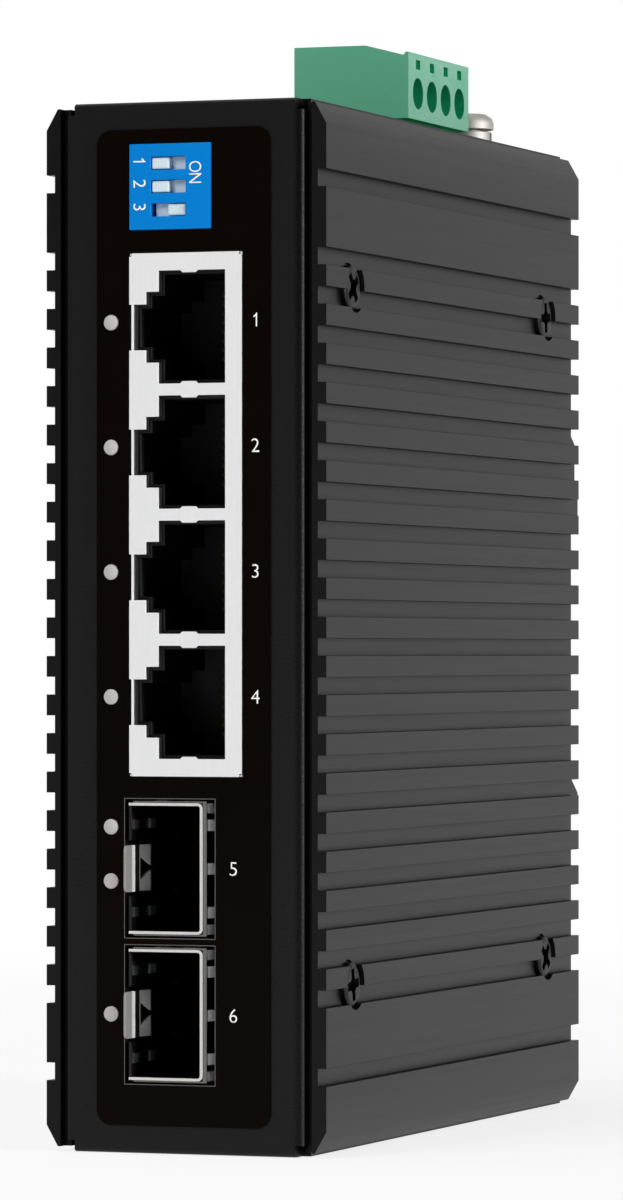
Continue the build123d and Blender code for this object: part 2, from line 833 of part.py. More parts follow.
def make_terminal_pins():
    x = board_x + header_height / 2
    low = box_height - header_depth
    return group(block(around(x, pin_size), around(pole, pin_size),
                       (low - pin_tail, low + header_floor + pin_length)) for pole in pole_places)


# Plug with side wire entries: a block above the box and a stem in the socket
def make_terminal_plug():
    top = box_height
    right_x = plug_right
    y = around(plug_middle_y, plug_length)
    profile = outline_of([(plug_left, plug_lift), (plug_left, plug_height), (plug_slope_start, plug_height),
                          (plug_slope_end, plug_slope_low), (plug_slope_end + plug_step_run, plug_face_top),
                          (right_x, plug_face_top), (right_x, plug_face_bottom),
                          (right_x - plug_undercut, plug_face_bottom), (right_x - plug_undercut, plug_lift)])
    plug = rearwards(Pos(0, top) * profile, y)
    stem_x = (board_x + header_wall + seat_gap, board_x + header_height - header_wall - seat_gap)
    stem_y = (y[0] + header_wall + seat_gap, y[1] - header_wall - seat_gap)
    plug += block(stem_x, stem_y, (top - plug_stem_depth, top + plug_lift))
    pin_x = board_x + header_height / 2
    pin_top = top - header_depth + header_floor + pin_length
    hole_z = top + wire_hole_height
    screw_x = clamp_middle_x()
    for pole in pole_places:
        room = clamp_size + 2 * seat_gap
        cavity_x = (screw_x - clamp_length / 2 - clamp_room, right_x - wire_mouth_depth)
        plug -= block(cavity_x, around(pole, room), around(hole_z, room))
        plug -= bar_x((cavity_x[1] - 1, right_x + 1), pole, hole_z, wire_hole_radius)
        plug -= bar_z(screw_x, pole, (hole_z, top + plug_height + 1), clamp_head_radius + clamp_screw_gap)
        plug -= block((right_x - notch_depth, right_x + 1), around(pole, notch_width),
                      around(top + notch_above, notch_height))
        plug -= block(around(pin_x, pin_size + pin_room), around(pole, pin_size + pin_room),
                      (top - plug_stem_depth - 1, pin_top + pin_room))
    return plug


def clamp_middle_x():
    return plug_right - wire_mouth_depth - clamp_length / 2 - clamp_from_mouth


def make_wire_clamps():
    x = around(clamp_middle_x(), clamp_length)
    z = box_height + wire_hole_height
    clamps = []
    for pole in pole_places:
        clamp = block(x, around(pole, clamp_size), around(z, clamp_size))
        clamp -= block((x[0] - 1, x[1] + 1), around(pole, clamp_bore), around(z - clamp_bore_drop, clamp_bore))
        clamps.append(clamp - bar_z(clamp_middle_x(), pole, (z, z + clamp_size), clamp_screw_radius + tapped_clearance))
    return group(clamps)


def make_clamp_screws():
    x = clamp_middle_x()
    z = box_height + wire_hole_height
    head_low = z + clamp_size / 2 + clamp_screw_gap
    head_high = head_low + clamp_head_height
    screws = []
    for pole in pole_places:
        head = bar_z(x, pole, (head_low, head_high), clamp_head_radius)
        head -= block(around(x, 2 * clamp_head_radius + 1), around(pole, clamp_slot_width),
                      (head_high - clamp_slot_depth, head_high + 1))
        screws.append(head + bar_z(x, pole, (z + clamp_screw_tip, head_low), clamp_screw_radius))
    return group(screws)


def make_earth_screw():
    low = box_height + earth_washer_thickness + earth_spring_thickness
    high = low + earth_head_height
    head = bar_z(earth_x, earth_y, (low, high), earth_head_radius)
    head = chamfer(head.edges().group_by(Axis.Z)[-1], earth_head_chamfer)
    head -= Pos(earth_x, earth_y, high) * cross(earth_head_radius)
    tip = box_height - 2 * sheet - fold_gap - earth_screw_past_sheet
    return head + bar_z(earth_x, earth_y, (tip, low), earth_screw_radius)


def make_earth_washers():
    bore = earth_screw_radius + tapped_clearance
    low = box_height
    middle = low + earth_washer_thickness
    high = middle + earth_spring_thickness
    hole = bar_z(earth_x, earth_y, (low - 1, high + 1), bore)
    flat = bar_z(earth_x, earth_y, (low, middle), earth_washer_radius) - hole
    split = bar_z(earth_x, earth_y, (middle, high), earth_spring_radius) - hole
    split -= block((earth_x, earth_x + earth_spring_radius + 1), around(earth_y, earth_split), (middle - 1, high + 1))
    return flat, split


# Extruded clip for the rail: a fixed hook above, a fixed nose below, screwed to the rear cover
def make_rail_clip():
    lip_inner = clip_land + rail_gap
    ceiling = rail_high + clip_pocket_above
    lip_low = rail_high - clip_lip_below
    top = rail_high + clip_top_above_rail
    nose_high = rail_low + clip_nose_overlap
    nose_shoulder = nose_high - clip_nose_drop
    nose_low = nose_shoulder - clip_nose_height
    foot = rail_low - clip_foot_below_rail
    seat_low, land_low, land_high = rail_low - clip_rail_room, rail_low + clip_land_length, rail_high - clip_land_length
    cut = clip_break
    side = [(0, foot), (clip_base, foot), (clip_reach - cut, nose_low), (clip_reach, nose_low + cut),
            (clip_reach, nose_shoulder), (lip_inner, nose_high), (lip_inner, seat_low),
            (clip_land, seat_low), (clip_land, land_low), (clip_base, land_low + clip_land - clip_base),
            (clip_base, land_high - clip_land + clip_base), (clip_land, land_high), (clip_land, ceiling),
            (lip_inner, ceiling), (lip_inner, lip_low + cut), (lip_inner + cut, lip_low),
            (clip_reach - cut, lip_low), (clip_reach, lip_low + cut),
            (clip_reach, ceiling - clip_reach + clip_shoulder), (clip_shoulder, ceiling),
            (clip_shoulder, top - clip_shoulder_drop), (clip_base, top), (0, top)]
    clip = across(outline_of([(rear_y + d, z) for d, z in side]), (-clip_width / 2, clip_width / 2))
    for x, z in clip_screw_places():
        clip -= bar_y(x, (rear_y - 1, rear_y + clip_land), z, clip_screw_radius + through_clearance)
    return clip


def clip_screw_places():
    low = rail_centre - clip_screw_below
    return [(0, rail_centre + clip_screw_above), (-clip_screw_spread, low), (clip_screw_spread, low)]


def make_clip_screws():
    head_y = rear_y + clip_base + clip_screw_head_height
    screws = []
    for x, z in clip_screw_places():
        head = bar_y(x, (rear_y + clip_base, head_y), z, clip_screw_head_radius)
        head = chamfer(head.edges().group_by(Axis.Y)[-1], plate_head_chamfer)
        head -= Pos(x, head_y, z) * Rot(90, 0, 0) * cross(clip_screw_head_radius)
        screws.append(head + bar_y(x, (rear_y - sheet - screw_past_sheet, rear_y + clip_base), z, clip_screw_radius))
    return group(screws)


# Bowed leaf spring in the ceiling of the hook, pressed down on the rail's top edge
def make_clip_spring():
    ceiling = rail_high + clip_pocket_above
    half = clip_spring_width / 2
    t = clip_spring_thickness
    sag = clip_pocket_above - t
    outer = ThreePointArc((-half, ceiling), (0, ceiling - sag), (half, ceiling))
    inner = ThreePointArc((-half, ceiling - t), (0, ceiling - sag - t), (half, ceiling - t))
    edges = [outer, Line(outer @ 1, inner @ 1), inner, Line(inner @ 0, outer @ 0)]
    leaf = make_face(Wire(edges))
    return rearwards(leaf, (rear_y + clip_land + 0.15, rear_y + clip_land + rail_gap - 0.15))


# Switch chip on the back of the board, with a pad and a block that lead its heat to the left plate
def make_heat_path():
    y, z = front_y + chip_from_front, port_centres[1]
    chip_x = (board_back_x - chip_thickness, board_back_x)
    pad_x = (chip_x[0] - thermal_pad_thickness, chip_x[0])
    chip = block(chip_x, around(y, chip_size), around(z, chip_size))
    chip = chamfer(chip.edges().group_by(Axis.X)[0], 0.3)
    pad = block(pad_x, around(y, chip_size * 0.9), around(z, chip_size * 0.9))
    heat = block((-wall_x, pad_x[0]), around(y, heat_block_size), around(z, heat_block_size))
    heat = chamfer(heat.edges().filter_by(Axis.X), 1.5)
    return chip, pad, heat


def on_board(size_y, size_z, height, y, z):
    return block((board_x, board_x + height), around(y, size_y), around(z, size_z))


def make_magnetics(z):
    body = on_board(magnetics_length, magnetics_width, magnetics_height, magnetics_y, z)
    return chamfer(body.edges().group_by(Axis.X)[-1], 0.4)


def make_capacitors():
    y = board_rear_y - capacitor_radius - capacitor_gap
    middle = (port_centres[1] + port_centres[2]) / 2
    cans = []
    for i in range(3):
        z = middle + (i - 1) * (2 * capacitor_radius + capacitor_gap)
        can = bar_x((board_x, board_x + capacitor_height), y, z, capacitor_radius)
        cans.append(chamfer(can.edges().group_by(Axis.X)[-1], 0.4))
    return group(cans)


def transformer_y():
    return board_rear_y - 2 * capacitor_radius - capacitor_gap - parts_gap - transformer_size / 2


def make_transformer():
    core = on_board(transformer_size, transformer_size, transformer_height, transformer_y(), port_centres[0])
    for side in (-1, 1):
        core -= block((board_x + core_web, board_x + transformer_height - core_web),
                      around(transformer_y(), transformer_size + 2),
                      around(port_centres[0] + side * core_leg, core_window))
    return core


def make_transformer_winding():
    x = (board_x + core_web + winding_fit, board_x + transformer_height - core_web - winding_fit)
    return group(block(x, around(transformer_y(), transformer_size + 2 * winding_overhang),
                       around(port_centres[0] + side * core_leg, core_window - 2 * winding_fit))
                 for side in (-1, 1))


def make_inductor():
    y = board_rear_y - 2 * capacitor_radius - capacitor_gap - parts_gap - inductor_size / 2
    body = on_board(inductor_size, inductor_size, inductor_height, y, port_centres[3])
    return chamfer(body.edges().filter_by(Axis.X), 2.0)


def make_small_chips():
    y = magnetics_y + magnetics_length / 2 + chips_behind_magnetics + controller_size / 2
    controller = on_board(controller_size, controller_size, controller_thickness, y, port_centres[2])
    crystal = on_board(crystal_size[0], crystal_size[1], crystal_size[2], y, port_centres[3])
    flash = on_board(flash_size[0], flash_size[1], flash_size[2], y, port_centres[1])
    return controller, crystal, flash


right_plate = make_right_plate()
right_screws = make_right_plate_screws()
flat_washer, split_washer = make_earth_washers()
switch_chip, thermal_pad, heat_block = make_heat_path()
controller_chip, crystal, flash_chip = make_small_chips()

nodes = {
    "front_shell": make_front_shell(),
    "rear_cover": make_rear_cover(),
    "right_fin_plate": right_plate,
    "left_fin_plate": mirror(right_plate, about=Plane.YZ),
    "right_plate_screws": right_screws,
    "left_plate_screws": group(mirror(screw, about=Plane.YZ) for screw in right_screws.solids()),
    "rear_cover_screws": make_cover_screws(),
    "front_label": make_front_label(),
    "main_board": make_main_board(),
    "board_standoffs": make_board_standoffs(),
    "board_screws": make_board_screws(),
    "jack_shield": make_jack_shield(),
    "jack_housing": make_jack_housing(),
    "jack_contacts": make_jack_contacts(),
    "dip_housing": make_dip_housing(),
    "indicator_lamps": make_lamps(),
    "terminal_header": make_terminal_header(),
    "terminal_pins": make_terminal_pins(),
    "terminal_plug": make_terminal_plug(),
    "terminal_wire_clamps": make_wire_clamps(),
    "terminal_clamp_screws": make_clamp_screws(),
    "earth_screw": make_earth_screw(),
    "earth_flat_washer": flat_washer,
    "earth_spring_washer": split_washer,
    "rail_clip": make_rail_clip(),
    "rail_clip_spring": make_clip_spring(),
    "rail_clip_screws": make_clip_screws(),
    "switch_chip": switch_chip,
    "thermal_pad": thermal_pad,
    "heat_block": heat_block,
    "power_controller_chip": controller_chip,
    "clock_crystal": crystal,
    "flash_chip": flash_chip,
    "bulk_capacitors": make_capacitors(),
    "power_transformer_core": make_transformer(),
    "power_transformer_winding": make_transformer_winding(),
    "power_inductor": make_inductor(),
}
for i, z in enumerate(cage_centres):
    port = jack_count + 1 + i
    nodes[f"module_cage_{port}"] = make_cage(z)
    nodes[f"latch_plate_{port}"] = make_latch_plate(z)
    nodes[f"spring_fingers_{port}"] = make_fingers(z)
    nodes[f"module_connector_{port}"] = make_connector(z)
for i, z in enumerate(port_centres):
    nodes[f"jack_magnetics_{i + 1}"] = make_magnetics(z)
for i in range(dip_lever_count):
    nodes[f"dip_lever_{i + 1}"] = make_lever(i)
for name, z in pipe_heights().items():
    nodes[name] = make_light_pipe(z)

for name, shape in nodes.items():
    save(name, shape)
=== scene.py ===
import math

import bmesh
import bpy
from mathutils import Matrix, Vector


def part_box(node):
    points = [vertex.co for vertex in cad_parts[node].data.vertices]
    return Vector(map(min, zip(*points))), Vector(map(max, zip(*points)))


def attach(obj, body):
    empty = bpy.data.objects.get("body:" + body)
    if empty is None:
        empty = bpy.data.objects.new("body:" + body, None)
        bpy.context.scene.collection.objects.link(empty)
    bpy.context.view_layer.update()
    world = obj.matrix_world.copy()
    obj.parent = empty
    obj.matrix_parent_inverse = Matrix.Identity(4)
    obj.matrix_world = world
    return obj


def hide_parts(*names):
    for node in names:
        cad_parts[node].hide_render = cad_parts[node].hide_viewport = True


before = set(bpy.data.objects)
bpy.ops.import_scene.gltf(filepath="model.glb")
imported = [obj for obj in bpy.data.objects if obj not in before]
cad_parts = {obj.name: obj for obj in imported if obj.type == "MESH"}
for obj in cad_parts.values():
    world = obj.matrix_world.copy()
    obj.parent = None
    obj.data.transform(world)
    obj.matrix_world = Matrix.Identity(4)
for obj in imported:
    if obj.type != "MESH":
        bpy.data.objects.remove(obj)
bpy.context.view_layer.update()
mm = 0.001
chassis = "chassis"
print("frame loaded:", len(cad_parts), "nodes")


def linear(hexColour):
    parts = [int(hexColour[i:i + 2], 16) / 255 for i in (1, 3, 5)]
    return [c / 12.92 if c <= 0.04045 else ((c + 0.055) / 1.055) ** 2.4 for c in parts] + [1.0]


# Adds a node. links takes sockets, or whole nodes for their first output
def addNode(tree, kind, settings=None, values=None, links=None):
    node = tree.nodes.new(kind)
    for name, value in (settings or {}).items():
        setattr(node, name, value)
    for name, value in (values or {}).items():
        node.inputs[name].default_value = value
    for name, source in (links or {}).items():
        socket = source.outputs[0] if isinstance(source, bpy.types.Node) else source
        tree.links.new(socket, node.inputs[name])
    return node


# Ends the work on a shape and gives it back as a mesh
def meshOf(shape, name):
    mesh = bpy.data.meshes.new(name)
    shape.to_mesh(mesh)
    shape.free()
    return mesh


# The camera stands level, to the right of the ports, and looks past the front corner
cameraSetup = {
    "place": (0.2587, -0.7099, 0.0561),
    "turn": 20.15,          # degrees to the right of straight on
    "lens": 192.1,          # mm, with the longer side of the frame as wide as the sensor
    "sensor": 36,
    "shiftY": 0.042,
    "nearest": 0.01,
}
cameraData = bpy.data.cameras.new("camera")
cameraData.lens = cameraSetup["lens"]
cameraData.sensor_width = cameraSetup["sensor"]
cameraData.shift_y = cameraSetup["shiftY"]
cameraData.clip_start = cameraSetup["nearest"]
camera = bpy.data.objects.new("camera", cameraData)
camera.location = cameraSetup["place"]
camera.rotation_euler = (math.radians(90), 0, math.radians(cameraSetup["turn"]))
bpy.context.scene.collection.objects.link(camera)
bpy.context.scene.camera = camera
bpy.context.scene.view_settings.view_transform = "Standard"
print("camera placed")

# Product studio: a white sweep behind the object, a dim room round and in front of it
studio = {
    "white": "#ffffff",
    "sweepTowards": (-0.344, 0.939, 0.0),
    "room": 0.10,           # brightness of the room away from the sweep
    "sweepFalloff": 6.0,    # how fast the white gives way to the room
    "sweepSeen": (0.8, 0.92),   # share of the sweep's direction over which reflections turn plain white
    "floorRadius": 0.9,
    "floorSides": 64,
    "floorDrop": 0.00005,   # the floor lies this far under the box, so the two faces don't share a plane
    "floorColour": "#f2f2f2",
    "floorGlow": 0.8,       # share of plain white in what is seen of the floor near the object
    "floorFade": (0.1, 0.5),    # metres over which the floor turns plain white
    "lampAim": (0, 0, 0.06),    # all lamps look at the middle of the object
}
world = bpy.data.worlds.new("studio")
bpy.context.scene.world = world
world.use_nodes = True
room = world.node_tree
room.nodes.clear()
direction = addNode(room, "ShaderNodeTexCoord")
toSweep = addNode(room, "ShaderNodeVectorMath", {"operation": "DOT_PRODUCT"},
                  {1: studio["sweepTowards"]}, {0: direction.outputs["Generated"]})
sweepShare = addNode(room, "ShaderNodeMapRange", None, {"From Min": -1.0, "From Max": 1.0},
                     {"Value": toSweep.outputs["Value"]})
sweepEdge = addNode(room, "ShaderNodeMath", {"operation": "POWER"}, {1: studio["sweepFalloff"]},
                    {0: sweepShare})
roomLevel = addNode(room, "ShaderNodeMapRange", None, {"To Min": studio["room"], "To Max": 1.0},
                    {"Value": sweepEdge})
# metal and glass see the sweep brighter, as the eye does
roomRays = addNode(room, "ShaderNodeLightPath")
sharpRays = addNode(room, "ShaderNodeMath", {"operation": "MAXIMUM"}, None,
                    {0: roomRays.outputs["Is Glossy Ray"], 1: roomRays.outputs["Is Transmission Ray"]})
sweepSeen = addNode(room, "ShaderNodeMapRange", {"interpolation_type": "SMOOTHSTEP"},
                    {"From Min": studio["sweepSeen"][0], "From Max": studio["sweepSeen"][1]},
                    {"Value": sweepShare})
sharpShare = addNode(room, "ShaderNodeMath", {"operation": "MULTIPLY"}, None, {0: sharpRays, 1: sweepSeen})
whiteShare = addNode(room, "ShaderNodeMath", {"operation": "MAXIMUM"}, None,
                     {0: roomRays.outputs["Is Camera Ray"], 1: sharpShare})
roomStrength = addNode(room, "ShaderNodeMix", {"data_type": "FLOAT"}, {"B": 1.0},
                       {"Factor": whiteShare, "A": roomLevel})
backdrop = addNode(room, "ShaderNodeBackground", None, {"Color": linear(studio["white"])},
                   {"Strength": roomStrength.outputs["Result"]})
addNode(room, "ShaderNodeOutputWorld", links={"Surface": backdrop})

floorMaterial = bpy.data.materials.new("paintedFloor")
floorMaterial.use_nodes = True
paint = floorMaterial.node_tree
paint.nodes.clear()
matt = addNode(paint, "ShaderNodeBsdfDiffuse", None, {"Color": linear(studio["floorColour"])})
glow = addNode(paint, "ShaderNodeEmission", None, {"Color": linear(studio["white"]), "Strength": 1.0})
floorRays = addNode(paint, "ShaderNodeLightPath")
floorSharp = addNode(paint, "ShaderNodeMath", {"operation": "MAXIMUM"}, None,
                     {0: floorRays.outputs["Is Glossy Ray"], 1: floorRays.outputs["Is Transmission Ray"]})
floorSeen = addNode(paint, "ShaderNodeMath", {"operation": "MAXIMUM"}, None,
                    {0: floorRays.outputs["Is Camera Ray"], 1: floorSharp})
floorPlace = addNode(paint, "ShaderNodeTexCoord")
fromObject = addNode(paint, "ShaderNodeVectorMath", {"operation": "LENGTH"}, None,
                     {0: floorPlace.outputs["Object"]})
floorWhite = addNode(paint, "ShaderNodeMapRange", {"interpolation_type": "SMOOTHSTEP"},
                     {"From Min": studio["floorFade"][0], "From Max": studio["floorFade"][1],
                      "To Min": studio["floorGlow"], "To Max": 1.0}, {"Value": fromObject.outputs["Value"]})
floorShare = addNode(paint, "ShaderNodeMath", {"operation": "MULTIPLY"}, None,
                     {0: floorSeen, 1: floorWhite})
floorMix = addNode(paint, "ShaderNodeMixShader", links={0: floorShare, 1: matt, 2: glow})
addNode(paint, "ShaderNodeOutputMaterial", links={"Surface": floorMix})
floorShape = bmesh.new()
bmesh.ops.create_circle(floorShape, cap_ends=True, segments=studio["floorSides"],
                        radius=studio["floorRadius"])
floorMesh = meshOf(floorShape, "floor")
floorMesh.materials.append(floorMaterial)
floor = bpy.data.objects.new("floor", floorMesh)
floor.location = (0, 0, -studio["floorDrop"])
bpy.context.scene.collection.objects.link(floor)

softboxes = {
    # key from the front left, polarised: it lights without glare
    "keySoftbox": {"place": (-0.45, -1.15, 0.75), "size": (0.7, 0.7), "watts": 11, "glare": False},
    # tall strip to the right: it draws the line down the folded edge
    "rightStrip": {"place": (1.35, -0.24, 0.1), "size": (0.14, 1.3), "watts": 28, "glare": True},
    "topSoftbox": {"place": (-0.3, -0.1, 1.4), "size": (0.9, 0.9), "watts": 6, "glare": True},
}
for name, box in softboxes.items():
    lampData = bpy.data.lights.new(name, "AREA")
    lampData.shape = "RECTANGLE"
    lampData.size, lampData.size_y = box["size"]
    lampData.energy = box["watts"]
    lamp = bpy.data.objects.new(name, lampData)
    lamp.location = box["place"]
    lamp.visible_glossy = box["glare"]
    aim = Vector(studio["lampAim"]) - Vector(box["place"])
    lamp.rotation_euler = aim.to_track_quat("-Z", "Y").to_euler()
    bpy.context.scene.collection.objects.link(lamp)
print("studio lit")

materials = {}
grainNoise = {"Scale": 1.0, "Detail": 2.0, "Roughness": 0.6}
grainSpan = (0.3, 0.7)      # the noise lies almost wholly in here


# One finish: a principled surface with grain of a real size in mm, which moves its roughness, height
# and tint. bands are painted shade: they darken it step by step along one axis, further in where less light
# reaches
def makeFinish(name, look):
    material = bpy.data.materials.new(name)
    material.use_nodes = True
    tree = material.node_tree
    tree.nodes.clear()
    shader = addNode(tree, "ShaderNodeBsdfPrincipled", None, {
        "Metallic": look.get("metallic", 0.0), "Specular IOR Level": look.get("specular", 0.5)})
    place = addNode(tree, "ShaderNodeTexCoord")
    stretch = look.get("stretch", (1, 1, 1))
    scaled = addNode(tree, "ShaderNodeMapping", None,
                     {"Scale": [1 / (look["grain"] * mm) / s for s in stretch]},
                     {"Vector": place.outputs["Object"]})
    grain = addNode(tree, "ShaderNodeTexNoise", None, grainNoise, {"Vector": scaled})
    bump = addNode(tree, "ShaderNodeBump", None, {"Distance": look["height"] * mm},
                   {"Height": grain.outputs["Fac"]})
    tree.links.new(bump.outputs["Normal"], shader.inputs["Normal"])
    spread = addNode(tree, "ShaderNodeMapRange", None, {
        "From Min": grainSpan[0], "From Max": grainSpan[1],
        "To Min": look["roughness"][0], "To Max": look["roughness"][1]}, {"Value": grain.outputs["Fac"]})
    tree.links.new(spread.outputs["Result"], shader.inputs["Roughness"])
    tint = addNode(tree, "ShaderNodeMix", {"data_type": "RGBA"}, None, {"Factor": grain.outputs["Fac"]})
    tint.inputs["A"].default_value = linear(look["colours"][0])
    tint.inputs["B"].default_value = linear(look["colours"][1])
    surface = tint.outputs["Result"]
    if "bands" in look:
        axis, start, end = look["along"]
        parts = addNode(tree, "ShaderNodeSeparateXYZ", links={"Vector": place.outputs["Object"]})
        depth = addNode(tree, "ShaderNodeMapRange", None, {"From Min": start * mm, "From Max": end * mm},
                        {"Value": parts.outputs[axis]})
        ramp = addNode(tree, "ShaderNodeValToRGB", links={"Fac": depth})
        stops = ramp.color_ramp.elements
        while len(stops) < len(look["bands"]):
            stops.new(0.5)
        for stop, (position, colour) in zip(stops, look["bands"]):
            stop.position = position
            stop.color = linear(colour)
        banded = addNode(tree, "ShaderNodeMix", {"data_type": "RGBA", "blend_type": "MULTIPLY"},
                         {"Factor": 1.0}, {"A": surface, "B": ramp})
        surface = banded.outputs["Result"]
    tree.links.new(surface, shader.inputs["Base Color"])
    addNode(tree, "ShaderNodeOutputMaterial", links={"Surface": shader})
    materials[name] = material


